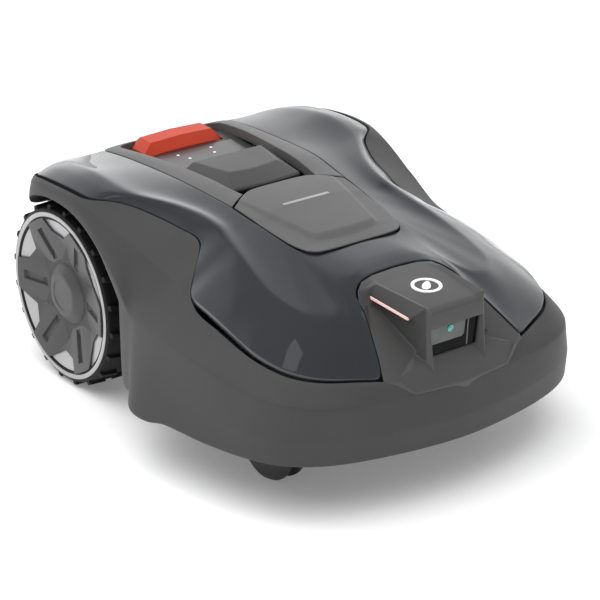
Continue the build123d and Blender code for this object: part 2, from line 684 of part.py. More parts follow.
with BuildPart() as blade_disc:
    add(rod((0, CUT_Y), 86.0, DISC_Z, DISC_Z + 3))
    add(rod((0, CUT_Y), 18.0, DISC_Z + 3, 64))
    add(rod((0, CUT_Y), MOTOR_SHAFT_R, LOW, HIGH), mode=Mode.SUBTRACT)
    with BuildSketch(Plane.XY.offset(DISC_Z)):
        with Locations((0, CUT_Y)):
            with PolarLocations(PIVOT_R, 3, start_angle=90):
                Circle(2.0)
            with PolarLocations(48.0, 3, start_angle=30):
                Circle(15.0)
    extrude(amount=3.0, mode=Mode.SUBTRACT)
save(blade_disc.part, "blade_disc")

PIVOTS = [(PIVOT_R * cos(radians(90 + 120 * i)), CUT_Y + PIVOT_R * sin(radians(90 + 120 * i)), 90 + 120 * i)
          for i in range(3)]
with BuildPart() as blade_screws:
    for x, y, turn in PIVOTS:
        add(rod((x, y), 2.0, 49.4, DISC_Z + 3))
        add(rod((x, y), 4.0, 47.0, 49.4))
save(blade_screws.part, "blade_screws")

BLADE_REACH = BLADE_TIP_R - PIVOT_R - 1
for number, (x, y, turn) in enumerate(PIVOTS, start=1):
    with BuildPart() as blade:
        with BuildSketch(Plane((x, y, 50.2), x_dir=(cos(radians(turn)), sin(radians(turn)), 0))):
            with BuildLine():
                Polyline((-6, -9), (BLADE_REACH, -9), (BLADE_REACH, 9), (-6, 9), close=True)
            make_face()
            Circle(2.6, mode=Mode.SUBTRACT)
        extrude(amount=0.8)
    save(blade.part, f"blade_{number}")

with BuildPart() as skid_plate:
    with BuildSketch(Plane.XZ.offset(-CUT_Y)):
        with BuildLine():
            Polyline((MOTOR_SHAFT_R + FIT, 41), (62, 41), (71, 44), (70.2, 46), (61, 43.4),
                     (14, 43.4), (12, 50), (MOTOR_SHAFT_R + FIT, 50), close=True)
        make_face()
    revolve(axis=Axis((0, CUT_Y, 0), (0, 0, 1)))
save(skid_plate.part, "skid_plate")

# ------------------------------------------------------------------------------------------
# Drive wheels
# ------------------------------------------------------------------------------------------
AXLE = Axis((0, AXLE_Y, TYRE_R), (1, 0, 0))


def turned(profile, side):
    """A ring turned about the wheel's axle, from a profile of (distance from centre plane, radius)."""
    with BuildPart() as ring:
        with BuildSketch(Plane(origin=(0, AXLE_Y, TYRE_R), x_dir=(1, 0, 0), z_dir=(0, -1, 0))):
            with BuildLine():
                Polyline(*[(x * side, r) for x, r in profile], close=True)
            make_face()
        revolve(axis=AXLE)
    return ring.part


TYRE_PROFILE = [(124, RIM_R + 1), (124, 88), (127, TREAD_R), (168, TREAD_R), (171.5, 88.5),
                (171.5, DISC_R + 0.3), (166, DISC_R + 0.3), (166, RIM_R + 1)]
RIM_PROFILE = [(124, RIM_R + 1), (166, RIM_R + 1), (166, 72), (162, 72), (162, 18), (166, 18),
               (166, SHAFT_R), (130, SHAFT_R), (130, 18), (158, 18), (158, 72), (124, 72)]
DISC_PROFILE = [(166, DISC_R), (171, DISC_R), (172, 85), (172, 80), (170, 78), (170, 30), (166, 30)]
STAR_Z = 170.0
ARM_TIP = 77.5
STAR_ARM = [(20, -27), (ARM_TIP * 0.94, -17), (ARM_TIP * 0.98, 0), (ARM_TIP * 0.94, 17), (20, 27)]


def spin_point(point, turn):
    """A sketch point turned about the wheel's centre."""
    angle = radians(turn)
    return (point[0] * cos(angle) - point[1] * sin(angle), point[0] * sin(angle) + point[1] * cos(angle))


for side, name in ((1, "left"), (-1, "right")):
    with BuildPart() as tyre:
        add(turned(TYRE_PROFILE, side))
        for count in range(LUGS):
            for row, inner in ((0, 127.0), (1, 149.0)):
                turn = 360.0 / LUGS * (count + 0.5 * row)
                face = Plane(origin=(0, AXLE_Y, TYRE_R), z_dir=(1, 0, 0)).rotated((turn, 0, 0))
                with BuildSketch(face.offset(inner if side > 0 else -inner - 18.0)):
                    with Locations((TREAD_R + 1.0, 0)):
                        Rectangle(5.8, 8.0)
                extrude(amount=18.0)
    save(tyre.part, f"tyre_{name}")

    with BuildPart() as rim:
        add(turned(RIM_PROFILE, side))
    save(rim.part, f"wheel_rim_{name}")

    with BuildPart() as disc:
        add(turned(DISC_PROFILE, side))
    save(disc.part, f"wheel_disc_{name}")

    with BuildPart() as hubcap:
        with BuildSketch(Plane(origin=(STAR_Z * side, AXLE_Y, TYRE_R), z_dir=(side, 0, 0))):
            Circle(44)
            for arm in range(6):
                with BuildLine():
                    Polyline(*[spin_point(p, 60.0 * arm) for p in STAR_ARM], close=True)
                make_face()
            with PolarLocations(53, 6):
                Rectangle(24, 9, mode=Mode.SUBTRACT)
        extrude(amount=4.0)
        add(turned([(166, 12), (166, 29.5), (STAR_Z, 29.5), (STAR_Z + 3, 25), (STAR_Z + 8, 23),
                    (STAR_Z + 8, 0), (STAR_Z, 0), (STAR_Z, 12)], side))
    save(hubcap.part, f"hubcap_{name}")

    with BuildPart() as shaft:
        add(cross_rod(AXLE_Y, TYRE_R, SHAFT_R, 76 * side, 165.8 * side))
    save(shaft.part, f"drive_shaft_{name}")

# ------------------------------------------------------------------------------------------
# Casters: a single arm between two domed half wheels
# ------------------------------------------------------------------------------------------
WHEEL_Y = CASTER_Y + TRAIL
DOME = [(ARM_HALF + 0.5, 0), (ARM_HALF + 0.5, CASTER_R), (9, CASTER_R), (14, CASTER_R - 3),
        (18, CASTER_R - 9), (CASTER_HALF, CASTER_R - 16), (CASTER_HALF, 0)]
PIN_R = 4.0

for side, name in ((1, "left"), (-1, "right")):
    centre = CASTER_X * side
    with BuildPart() as fork:
        add(rod((centre, CASTER_Y), 6.0, 82.5, STEM_TOP + 2))
        add(rod((centre, CASTER_Y), 14.0, 76.5, 82.5))
        with BuildSketch(Plane.YZ.offset(centre - ARM_HALF)):
            with BuildLine():
                Polyline((CASTER_Y - 11, 80), (CASTER_Y + 12, 80), (WHEEL_Y + 22, 58), (WHEEL_Y + 24, 36),
                         (WHEEL_Y - 20, 24), (WHEEL_Y - 26, 45), (CASTER_Y - 11, 66), close=True)
            make_face()
            with Locations((WHEEL_Y, CASTER_R)):
                Circle(29)
        extrude(amount=2 * ARM_HALF)
        add(cross_rod(WHEEL_Y, CASTER_R, PIN_R + FIT, centre - 10, centre + 10), mode=Mode.SUBTRACT)
    save(fork.part, f"caster_arm_{name}")

    with BuildPart() as caster_wheel:
        for half in (-1, 1):
            with BuildSketch(Plane(origin=(centre, WHEEL_Y, CASTER_R), x_dir=(1, 0, 0), z_dir=(0, -1, 0))):
                with BuildLine():
                    Polyline(*[(x * half, r) for x, r in DOME], close=True)
                make_face()
            revolve(axis=Axis((centre, WHEEL_Y, CASTER_R), (1, 0, 0)))
        add(cross_rod(WHEEL_Y, CASTER_R, PIN_R, centre - ARM_HALF - 1, centre + ARM_HALF + 1))
    save(caster_wheel.part, f"caster_wheel_{name}")
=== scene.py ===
import math

import bmesh
import bpy
import numpy as np
from mathutils import Matrix, Vector


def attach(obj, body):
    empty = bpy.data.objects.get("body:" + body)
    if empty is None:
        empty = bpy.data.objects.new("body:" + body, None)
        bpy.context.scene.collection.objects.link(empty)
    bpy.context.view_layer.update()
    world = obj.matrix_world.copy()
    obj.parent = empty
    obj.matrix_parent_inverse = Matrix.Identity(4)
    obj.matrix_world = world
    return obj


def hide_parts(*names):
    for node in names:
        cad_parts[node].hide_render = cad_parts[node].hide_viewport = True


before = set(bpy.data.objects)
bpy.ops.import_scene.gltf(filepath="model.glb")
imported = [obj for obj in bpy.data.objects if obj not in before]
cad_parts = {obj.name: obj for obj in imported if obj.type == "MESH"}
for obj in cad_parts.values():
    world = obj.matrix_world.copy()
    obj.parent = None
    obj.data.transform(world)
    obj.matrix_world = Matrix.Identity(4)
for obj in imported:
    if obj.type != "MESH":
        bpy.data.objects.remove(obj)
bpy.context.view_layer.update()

MM = 0.001


# ------------------------------------------------------------------------------------------
# Materials
# ------------------------------------------------------------------------------------------
def finish_material(name, colour, rough, tone=0.08, tone_scale=9.0, grain_scale=900.0, grain=0.12, depth=0.00012,
                    rough_swing=0.06, metallic=0.0, coat=0.0, coat_rough=0.04, specular=0.5, painted_edge_highlight=0.0):
    """A procedural surface: drifting tone, fine grain bump, uneven roughness and, if asked, a painted highlight that
    makes sharp edges and creases paler.
    """
    mat = bpy.data.materials.new(name)
    mat.use_nodes = True
    nodes = mat.node_tree.nodes
    links = mat.node_tree.links
    shader = nodes["Principled BSDF"]
    shader.inputs["Metallic"].default_value = metallic
    shader.inputs["Coat Weight"].default_value = coat
    shader.inputs["Coat Roughness"].default_value = coat_rough
    shader.inputs["Specular IOR Level"].default_value = specular
    place = nodes.new("ShaderNodeTexCoord")

    def noise(scale, detail=3.0):
        node = nodes.new("ShaderNodeTexNoise")
        node.inputs["Scale"].default_value = scale
        node.inputs["Detail"].default_value = detail
        links.new(place.outputs["Object"], node.inputs["Vector"])
        return node

    drift = noise(tone_scale)
    ramp = nodes.new("ShaderNodeValToRGB")
    ramp.color_ramp.elements[0].position = 0.3
    ramp.color_ramp.elements[1].position = 0.7
    ramp.color_ramp.elements[0].color = (*[c * (1 - tone) for c in colour], 1)
    ramp.color_ramp.elements[1].color = (*[min(1.0, c * (1 + tone)) for c in colour], 1)
    links.new(drift.outputs["Fac"], ramp.inputs["Fac"])
    colour_out = ramp.outputs["Color"]
    # Sharp edges and creases (high pointiness) get a paler colour: a painted highlight.
    if painted_edge_highlight:
        edge = nodes.new("ShaderNodeNewGeometry")
        sharp = nodes.new("ShaderNodeValToRGB")
        sharp.color_ramp.elements[0].position = 0.52
        sharp.color_ramp.elements[1].position = 0.62
        sharp.color_ramp.elements[1].color = (painted_edge_highlight, painted_edge_highlight, painted_edge_highlight, 1)
        links.new(edge.outputs["Pointiness"], sharp.inputs["Fac"])
        blend = nodes.new("ShaderNodeMix")
        blend.data_type = "RGBA"
        blend.blend_type = "ADD"
        blend.inputs["Factor"].default_value = 1.0
        links.new(ramp.outputs["Color"], blend.inputs["A"])
        links.new(sharp.outputs["Color"], blend.inputs["B"])
        colour_out = blend.outputs["Result"]
    links.new(colour_out, shader.inputs["Base Color"])
    smears = noise(34.0, 5.0)
    spread = nodes.new("ShaderNodeMapRange")
    spread.inputs["To Min"].default_value = max(0.02, rough - rough_swing)
    spread.inputs["To Max"].default_value = min(1.0, rough + rough_swing)
    links.new(smears.outputs["Fac"], spread.inputs["Value"])
    links.new(spread.outputs["Result"], shader.inputs["Roughness"])
    if grain:
        fine = noise(grain_scale, 2.0)
        bump = nodes.new("ShaderNodeBump")
        bump.inputs["Strength"].default_value = grain
        bump.inputs["Distance"].default_value = depth
        links.new(fine.outputs["Fac"], bump.inputs["Height"])
        links.new(bump.outputs["Normal"], shader.inputs["Normal"])
    return mat


def glowing(mat, colour, strength):
    """Let a surface shine a little."""
    shader = mat.node_tree.nodes["Principled BSDF"]
    shader.inputs["Emission Color"].default_value = (*colour, 1)
    shader.inputs["Emission Strength"].default_value = strength
    return mat


def make_materials():
    # The amounts given for paler edges set how strong a painted highlight sharp edges and creases get.
    m = {}
    m["matte_body"] = finish_material("matte_body", (0.052, 0.052, 0.0516), 0.5, tone=0.07, grain=0.25,
                                      grain_scale=1300.0, specular=0.22, painted_edge_highlight=0.03)
    m["painted_cover"] = finish_material("painted_cover", (0.025, 0.0275, 0.0315), 0.4, tone=0.04, grain=0.0,
                                         coat=1.0, coat_rough=0.025, rough_swing=0.03, specular=0.2)
    m["satin_panel"] = finish_material("satin_panel", (0.09, 0.09, 0.09), 0.4, tone=0.05, grain=0.15,
                                       specular=0.5, painted_edge_highlight=0.03)
    m["dark_tray"] = finish_material("dark_tray", (0.03, 0.03, 0.031), 0.35, tone=0.1, grain=0.1)
    m["keypad_gloss"] = finish_material("keypad_gloss", (0.06, 0.0585, 0.0585), 0.25, tone=0.06, grain=0.02,
                                        coat=0.25, coat_rough=0.1)
    m["icon_white"] = finish_material("icon_white", (0.8, 0.8, 0.8), 0.4, tone=0.03, grain=0.0)
    m["circuit_board"] = finish_material("circuit_board", (0.02, 0.12, 0.05), 0.45, tone=0.3, tone_scale=160.0)
    m["pod_plastic"] = finish_material("pod_plastic", (0.054, 0.0535, 0.053), 0.47, tone=0.06, grain=0.3,
                                       grain_scale=1500.0, painted_edge_highlight=0.04)
    m["emblem_white"] = finish_material("emblem_white", (0.86, 0.86, 0.86), 0.32, tone=0.03, grain=0.05)
    m["light_strip"] = glowing(finish_material("light_strip", (0.75, 0.5, 0.47), 0.3, tone=0.1, tone_scale=60.0),
                               (1.0, 0.62, 0.58), 0.35)
    m["window_glass"] = finish_material("window_glass", (0.002, 0.002, 0.0022), 0.16, tone=0.2, grain=0.0,
                                        specular=0.08, rough_swing=0.03)
    # Lighter grey for the window: a painted sheen on the glass.
    m["window_sheen"] = finish_material("window_sheen", (0.12, 0.125, 0.125), 0.3, tone=0.15, tone_scale=50.0,
                                        grain=0.0, specular=0.3)
    m["black_plastic"] = finish_material("black_plastic", (0.02, 0.02, 0.02), 0.5, tone=0.2, grain=0.2)
    # Turquoise colour: a painted glint from the lens coating.
    m["lens_glass"] = finish_material("lens_glass", (0.05, 0.42, 0.36), 0.08, tone=0.4, tone_scale=300.0,
                                      coat=1.0)
    m["button_orange"] = finish_material("button_orange", (0.46, 0.043, 0.017), 0.4, tone=0.06, grain=0.18,
                                         specular=0.25, painted_edge_highlight=0.02)
    m["lid_plastic"] = finish_material("lid_plastic", (0.042, 0.042, 0.042), 0.4, specular=0.8, tone=0.06, grain=0.25, painted_edge_highlight=0.03)
    m["steel"] = finish_material("steel", (0.55, 0.55, 0.56), 0.28, tone=0.1, metallic=1.0, grain=0.15)
    m["blade_steel"] = finish_material("blade_steel", (0.62, 0.62, 0.63), 0.22, tone=0.12, metallic=1.0, grain=0.2)
    m["motor_metal"] = finish_material("motor_metal", (0.33, 0.33, 0.34), 0.4, tone=0.12, metallic=1.0)
    m["disc_plastic"] = finish_material("disc_plastic", (0.05, 0.05, 0.052), 0.5, tone=0.12, grain=0.25)
    m["chassis_plastic"] = finish_material("chassis_plastic", (0.04, 0.04, 0.041), 0.55, tone=0.12, grain=0.25)
    m["rubber"] = finish_material("rubber", (0.022, 0.022, 0.022), 0.75, tone=0.2, grain=0.3)
    m["battery_case"] = finish_material("battery_case", (0.03, 0.045, 0.09), 0.45, tone=0.1)
    m["contact_brass"] = finish_material("contact_brass", (0.7, 0.5, 0.2), 0.3, tone=0.12, metallic=1.0)
    m["tyre_rubber"] = finish_material("tyre_rubber", (0.007, 0.007, 0.0073), 0.66, tone=0.25, tone_scale=40.0,
                                       grain=0.35, grain_scale=700.0, specular=0.3, painted_edge_highlight=0.008)
    m["silver_disc"] = finish_material("silver_disc", (0.42, 0.42, 0.425), 0.36, tone=0.05, metallic=0.55,
                                       grain=0.1, grain_scale=2500.0, painted_edge_highlight=0.05)
    m["hubcap_plastic"] = finish_material("hubcap_plastic", (0.05, 0.05, 0.051), 0.42, tone=0.07, grain=0.2,
                                          painted_edge_highlight=0.04)
    m["caster_grey"] = finish_material("caster_grey", (0.05, 0.05, 0.05), 0.5, tone=0.1, grain=0.25)
    m["caster_rubber"] = finish_material("caster_rubber", (0.028, 0.028, 0.028), 0.6, tone=0.2, grain=0.3)
    m["seam_dark"] = finish_material("seam_dark", (0.006, 0.006, 0.006), 0.8, tone=0.2, grain=0.1)
    return m


MATS = make_materials()


# ------------------------------------------------------------------------------------------
# Mesh helpers
# ------------------------------------------------------------------------------------------
def smooth_line(points, steps=8):
    """A centripetal Catmull-Rom curve through the points; a first point on x = 0 is a mirror point."""
    p = np.asarray(points, float)
    first = p[1] * (-1, 1, 1) if abs(p[0][0]) < 1e-6 else 2 * p[0] - p[1]
    last = p[-2] * (-1, 1, 1) if abs(p[-1][0]) < 1e-6 else 2 * p[-1] - p[-2]
    q = np.vstack([first, p, last])
    out = []
    for i in range(1, len(q) - 2):
        a, b, c, d = q[i - 1:i + 3]
        d1, d2, d3 = [max(np.linalg.norm(v - u), 1e-6) ** 0.5 for u, v in ((a, b), (b, c), (c, d))]
        m1 = ((b - a) / d1 - (c - a) / (d1 + d2) + (c - b) / d2) * d2
        m2 = ((c - b) / d2 - (d - b) / (d2 + d3) + (d - c) / d3) * d2
        for s in range(steps):
            t = s / steps
            out.append((2 * t ** 3 - 3 * t ** 2 + 1) * b + (t ** 3 - 2 * t ** 2 + t) * m1
                       + (3 * t ** 2 - 2 * t ** 3) * c + (t ** 3 - t ** 2) * m2)
    out.append(q[-2])
    return np.array(out)


def spread(line, count):
    """count points spaced evenly along a line, both ends included."""
    steps = np.linalg.norm(np.diff(line, axis=0), axis=1)
    run = np.concatenate([[0], np.cumsum(steps)])
    at = np.linspace(0, run[-1], count)
    return np.stack([np.interp(at, run, line[:, k]) for k in range(3)], axis=1)


def rail(points, counts):
    """Columns along a smooth rail. None in the list ends a zone; each zone gets its own number of columns."""
    plain = [p for p in points if p is not None]
    steps = 8
    line = smooth_line(plain, steps)
    marks = []
    seen = 0
    for p in points:
        if p is None:
            marks.append((seen - 1) * steps)
        else:
            seen += 1
    marks = [0] + marks + [len(line) - 1]
    out = []
    for lo, hi, count in zip(marks, marks[1:], counts):
        out.extend(spread(line[lo:hi + 1], count + 1)[:-1])
    out.append(line[-1])
    return np.array(out)


def support(near, far, gap):
    """A row beside a crease: gap millimetres from near towards far."""
    away = far - near
    length = np.maximum(np.linalg.norm(away, axis=1, keepdims=True), 1e-6)
    return near + away * np.minimum(gap / length, 0.45)


def sheet_faces(rows, start=0):
    """Quads between rows of equal length, as index tuples."""
    count = len(rows[0])
    faces = []
    for r in range(len(rows) - 1):
        for c in range(count - 1):
            a = start + r * count + c
            faces.append((a, a + 1, a + count + 1, a + count))
    return faces


def add_sheet(bm, rows, flip=False):
    """Add a sheet of quads to a mesh and return its vertices, row by row."""
    verts = [[bm.verts.new(Vector(p) * MM) for p in row] for row in rows]
    for r in range(len(rows) - 1):
        for c in range(len(rows[0]) - 1):
            quad = [verts[r][c], verts[r][c + 1], verts[r + 1][c + 1], verts[r + 1][c]]
            if len({tuple(v.co) for v in quad}) < 3:
                continue
            bm.faces.new(reversed(quad) if flip else quad)
    return verts


def mirror_mesh(bm):
    """Mirror everything across x = 0 and weld the middle."""
    geom = bm.verts[:] + bm.edges[:] + bm.faces[:]
    copy = bmesh.ops.duplicate(bm, geom=geom)["geom"]
    new_verts = [g for g in copy if isinstance(g, bmesh.types.BMVert)]
    new_faces = [g for g in copy if isinstance(g, bmesh.types.BMFace)]
    for v in new_verts:
        v.co.x = -v.co.x
    bmesh.ops.reverse_faces(bm, faces=new_faces)
    bmesh.ops.remove_doubles(bm, verts=bm.verts[:], dist=0.00004)


def make_piece(name, bm, body, slot, nodes=(), mats=None, levels=0, thick=0.0, bevel=0.0, smooth=True):
    """Turn a bmesh into a finished piece that rides on a body and stands for CAD nodes."""
    bmesh.ops.recalc_face_normals(bm, faces=bm.faces[:])
    mesh = bpy.data.meshes.new(name)
    bm.to_mesh(mesh)
    bm.free()
    obj = bpy.data.objects.new(name, mesh)
    bpy.context.scene.collection.objects.link(obj)
    for key in (mats or [slot]):
        mesh.materials.append(MATS[key])
    for poly in mesh.polygons:
        poly.use_smooth = smooth
    if bevel:
        mod = obj.modifiers.new("edges", "BEVEL")
        mod.width = bevel * MM
        mod.segments = 3
        mod.limit_method = "ANGLE"
        mod.angle_limit = math.radians(28)
        mod.harden_normals = False
    if thick:
        mod = obj.modifiers.new("wall", "SOLIDIFY")
        mod.thickness = thick * MM
        mod.offset = -1.0
    if levels:
        mod = obj.modifiers.new("round", "SUBSURF")
        mod.levels = levels
        mod.render_levels = levels
    if bevel:
        mod = obj.modifiers.new("facets", "WEIGHTED_NORMAL")
        mod.keep_sharp = True
    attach(obj, body)
    if nodes:
        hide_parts(*nodes)
    return obj


def add_loft(bm, rings, close_ends=True, mat=0):
    """Quads between closed rings of equal length; the end rings are filled."""
    verts = [[bm.verts.new(Vector(p) * MM) for p in ring] for ring in rings]
    count = len(rings[0])
    faces = []
    for low, high in zip(verts, verts[1:]):
        for i in range(count):
            faces.append(bm.faces.new((low[i], low[(i + 1) % count], high[(i + 1) % count], high[i])))
    if close_ends:
        faces.append(bm.faces.new(list(reversed(verts[0]))))
        faces.append(bm.faces.new(verts[-1]))
    for f in faces:
        f.material_index = mat
    return verts


def add_turned(bm, profile, centre, side, segments=96, mat=0, close=True):
    """A ring turned about an axle along X. The profile is (distance from the centre plane, radius)."""
    loops = []
    for i in range(segments):
        turn = 2 * math.pi * i / segments
        loops.append([bm.verts.new(Vector((x * side, centre[1] + r * math.cos(turn),
                                           centre[2] + r * math.sin(turn))) * MM) for x, r in profile])
    count = len(profile)
    for i in range(segments):
        a, b = loops[i], loops[(i + 1) % segments]
        for k in range(count if close else count - 1):
            f = bm.faces.new((a[k], a[(k + 1) % count], b[(k + 1) % count], b[k]))
            f.material_index = mat
    return loops


def inset(line, gap):
    """A rail moved sideways in plan, to the left of its own direction."""
    step = np.gradient(line[:, :2], axis=0)
    step /= np.maximum(np.linalg.norm(step, axis=1, keepdims=True), 1e-9)
    out = line.copy()
    out[:, 0] -= step[:, 1] * gap
    out[:, 1] += step[:, 0] * gap
    out[np.abs(line[:, 0]) < 1e-6, 0] = 0
    return out


def moved(line, x=0.0, y=0.0, z=0.0):
    """A rail moved by a step, or by one step per point; points on the middle plane stay on it."""
    out = line.copy()
    for axis, step in enumerate((x, y, z)):
        out[:, axis] += step
    out[np.abs(line[:, 0]) < 1e-6, 0] = 0
    return out


def join(*lines):
    """Rails that share their end points, put end to end."""
    return np.vstack([lines[0]] + [line[1:] for line in lines[1:]])


def coons(front, rear, spine, side, nu, nv):
    """A smooth patch inside four border curves, as rows from front to rear."""
    c0, c1 = spread(front, nu), spread(rear, nu)
    d0, d1 = spread(spine, nv), spread(side, nv)
    rows = []
    for j in range(nv):
        v = j / (nv - 1)
        row = []
        for i in range(nu):
            u = i / (nu - 1)
            ruled = (1 - v) * c0[i] + v * c1[i] + (1 - u) * d0[j] + u * d1[j]
            corner = ((1 - u) * (1 - v) * c0[0] + u * (1 - v) * c0[-1] + (1 - u) * v * c1[0] + u * v * c1[-1])
            row.append(ruled - corner)
        rows.append(np.array(row))
    return rows


# ------------------------------------------------------------------------------------------
# Body shell: one moulded skin with a rounded lower band, a step, a shelf and two wheel arches
# ------------------------------------------------------------------------------------------
FRONT = (22, 10)
WHOLE = (22, 10, 16, 8)

LOWER_EDGE = rail([(0, -281, 60), (40, -278, 60), (76, -272, 60), (112, -263, 60), (145, -249, 60), (167, -231, 60),
                   (182, -207, 60), (192, -180, 60), (200, -150, 60.5), (206, -115, 61), (210.3, -92, 61), (212, -83, 57.2), None,
                   (214.5, -66, 56), (213.5, -50, 57), (207, -37, 59), (197, -27, 60)], FRONT)
BAND_TOP = rail([(0, -285, 85), (40, -282, 85), (77, -276, 85), (115, -265.5, 85), (147, -250.5, 85), (169, -231, 85),
                 (182, -208, 85), (189, -182, 85), (194.5, -150, 85), (198.5, -115, 85), (201, -85, 85.5), None,
                 (203, -64, 86), (203.5, -48, 86), (201, -33, 86), (194, -21, 86)], FRONT)
BELT = rail([(0, -280.5, 115.5), (41, -276.5, 115.8), (76, -272, 116), (111, -266, 116.5), (142, -253, 117),
             (163, -232, 118), (174.5, -207, 119), (181.5, -180, 121.5), (187, -150, 126), (190, -115, 130),
             (190.5, -85, 131.5), None, (190, -60, 132), (189, -40, 132), (187.5, -22, 132.5), (185, -6, 134), None,
             (186.5, 1, 146), (186.3, 9, 155.5), (185.3, 25, 167), (183.5, 42, 177.5), (182, 67.6, 190.5),
             (181.5, 93, 199.5), (181.5, 119, 202.8), (181, 147, 200.8), (179.5, 170, 194.5), None,
             (174.5, 188, 186), (168.5, 197, 176), (156, 204, 170), (135, 208, 168.5), (114, 209, 168.5)], WHOLE)
DIP = rail([(0, -275, 118.5), (41, -271, 119.5), (62, -268.5, 125.5), (80, -266.3, 129.5), (108, -254, 131), (131.5, -241.5, 132.5),
            (152.5, -220, 135), (160.5, -197.5, 137.5), (165.5, -176, 139.5), (167.5, -149, 142.5),
            (168.5, -122, 145.5), (168.5, -90, 148.5), None, (168, -68, 150.5), (170.5, -45, 151.5),
            (176, -24, 149), (181.5, -5, 147), None, (181.3, 3, 159), (181, 9, 169), (180.8, 25, 180.5),
            (181, 42, 188.5), (181.2, 62, 197.5), (181.4, 84, 204.8), (181.4, 100, 207.6), (181.3, 122, 208.8),
            (180.3, 152, 206.8), (177.6, 174, 200.8), None, (171, 192.5, 193), (157, 203.8, 186),
            (135, 208.3, 184), (114, 209.8, 184)], WHOLE)
CREASE = rail([(0, -268, 120), (41, -265, 121.5), (62, -264.5, 127), (82, -262.5, 131.8), (108, -249.5, 133.3),
               (130, -238.5, 134.5), (150.5, -218, 137), (158.5, -196.5, 140), (163, -176, 143.5), (164, -149, 148),
               (164.3, -122, 153.5), (163.8, -90, 158.5), None, (161, -66, 166), (160.2, -60, 168.5),
               (158.5, -40, 173.7), (160.8, -22, 180), (165, 2, 188.5), None, (168, 23.4, 195.5), (172, 42.4, 201.4),
               (174.5, 60, 207.2), (178, 84, 212.6), (179, 94, 213.8), (179.5, 124, 214.6), (177.5, 158, 211.5),
               (174.5, 180, 206), None, (167, 194, 200.5), (154, 203, 197.5), (135, 208, 197.5), (114, 210.5, 199)],
              WHOLE)
SEAM_WAIST = [(158, -72, 167.5), (150, -62.5, 172), (139.5, -53.5, 181.8), (126.5, -41, 191), (119.5, -34.5, 197)]
SEAM_REAR = [(118, -25, 200.4), (121.5, -13.7, 202.6), (125, 2, 204.8), (129, 20, 207.2), (140, 47.5, 212.2),
             (149, 62, 214.4), (160.5, 70, 216.7), (169, 79, 215.8), (172.5, 86.5, 215.9), (173.5, 102, 216.4),
             (174.5, 132, 215.7), (172.5, 168.5, 212.3), (168, 186, 208.5)]
SEAM_TAIL = [(160, 196, 205.5), (145, 201, 204.5)]
SHELF = [(0, -266.8, 119.5), (41, -263.8, 121), (61.5, -263.3, 126.5), (81.3, -261.5, 131.3), (107, -248.5, 132.8), (129, -237.5, 134),
         (149.4, -217.3, 136.5), (157.3, -196.2, 139.5), (161.8, -175.8, 143), (162.8, -149, 147.5),
         (163.1, -122, 153), (162.4, -90, 158)]
SEAM = rail(SHELF + [None] + SEAM_WAIST + SEAM_REAR[:3] + [None] + SEAM_REAR[3:] + [None] + SEAM_TAIL
            + [(114, 203, 205.5)], WHOLE)


def body_shell():
    """The matte outer body, with its wheel arches open."""
    bm = bmesh.new()
    near = len(LOWER_EDGE)
    belt_near = BELT[:near]
    lower = [LOWER_EDGE, support(LOWER_EDGE, BAND_TOP, 3), support(BAND_TOP, LOWER_EDGE, 3), BAND_TOP,
             support(BAND_TOP, belt_near, 3), support(belt_near, BAND_TOP, 4)]
    ledge = np.interp(SEAM[:, 0], (60, 84), (0.3, 8.0))
    ledge *= np.interp(SEAM[:, 1], (-100, -75, -45, -20), (1, 0.12, 0.12, 1))
    drop = np.interp(SEAM[:, 0], (60, 84), (2.5, 7.5))
    upper = [BELT, support(BELT, DIP, 4), DIP, support(CREASE, DIP, 1.8), CREASE, support(CREASE, SEAM, 1.8),
             support(SEAM, CREASE, 1.4), SEAM, moved(SEAM, z=-1.2), moved(SEAM, z=1 - drop),
             inset(moved(SEAM, z=-drop), ledge), inset(moved(SEAM, z=-1.5 - drop), ledge * 1.3)]
    low = add_sheet(bm, lower)
    high = add_sheet(bm, upper)
    for c in range(near - 1):
        bm.faces.new((low[-1][c], low[-1][c + 1], high[0][c + 1], high[0][c]))
    border = [row[-1] for row in low] + high[0][near - 1:]
    last = len(border)
    rims = [border]
    for roll, turn_in, lip in ((13, 2, 1.5), (25, 6.5, 3), (34, 12, 5), (39, 20, 8), (41, 31, 12)):
        ring = []
        for i, v in enumerate(border):
            p = v.co / MM
            past = max(0.0, (i - len(low)) / 16)
            wrap = max(0.0, 1 - past / 0.55) ** 1.3
            back = max(0.0, min(1.0, (i - last + 8) / 4))
            way = Vector((0, AXLE_Y - p.y, (AXLE_Z - p.z) * min(1, past * 6))).normalized()
            flat = (turn_in * wrap + lip * (1 - wrap)) * (1 - back)
            ring.append(bm.verts.new((p + way * roll * wrap + Vector((-flat, -0.1 * lip * back, 0))) * MM))
        rims.append(ring)
    rims.append([bm.verts.new(Vector((0.122, v.co.y, v.co.z + 0.002))) for v in rims[-1]])
    for a, b in zip(rims, rims[1:]):
        for i in range(last - 1):
            bm.faces.new((a[i], a[i + 1], b[i + 1], b[i]))
    tail = []
    for y, z in ((201, 206.5), (209, 205.2), (213, 202), (238, 188), (261, 164), (265, 158), (276, 130), (281, 112),
                 (283.2, 100), (283.8, 78), (282.5, 76), (278.5, 76)):
        row = [(0, y, z), (30, y, z), (60, y - 0.3, z), (84, y - 1, z), (98, y - 2, z), (107, y - 4.5, z),
               (112, y - 10, z), (114, y - 19, z)]
        row += [(114, y - 19 + (198 - y + 19) * t, z) for t in (0.33, 0.66, 1.0)]
        tail.append(np.array([(x, max(yy, 197), zz) for x, yy, zz in row]))
    add_sheet(bm, tail)
    mirror_mesh(bm)
    return make_piece("body_shell_skin", bm, "outer_body", "matte_body", ("body_skirt",), levels=2, thick=2.4)


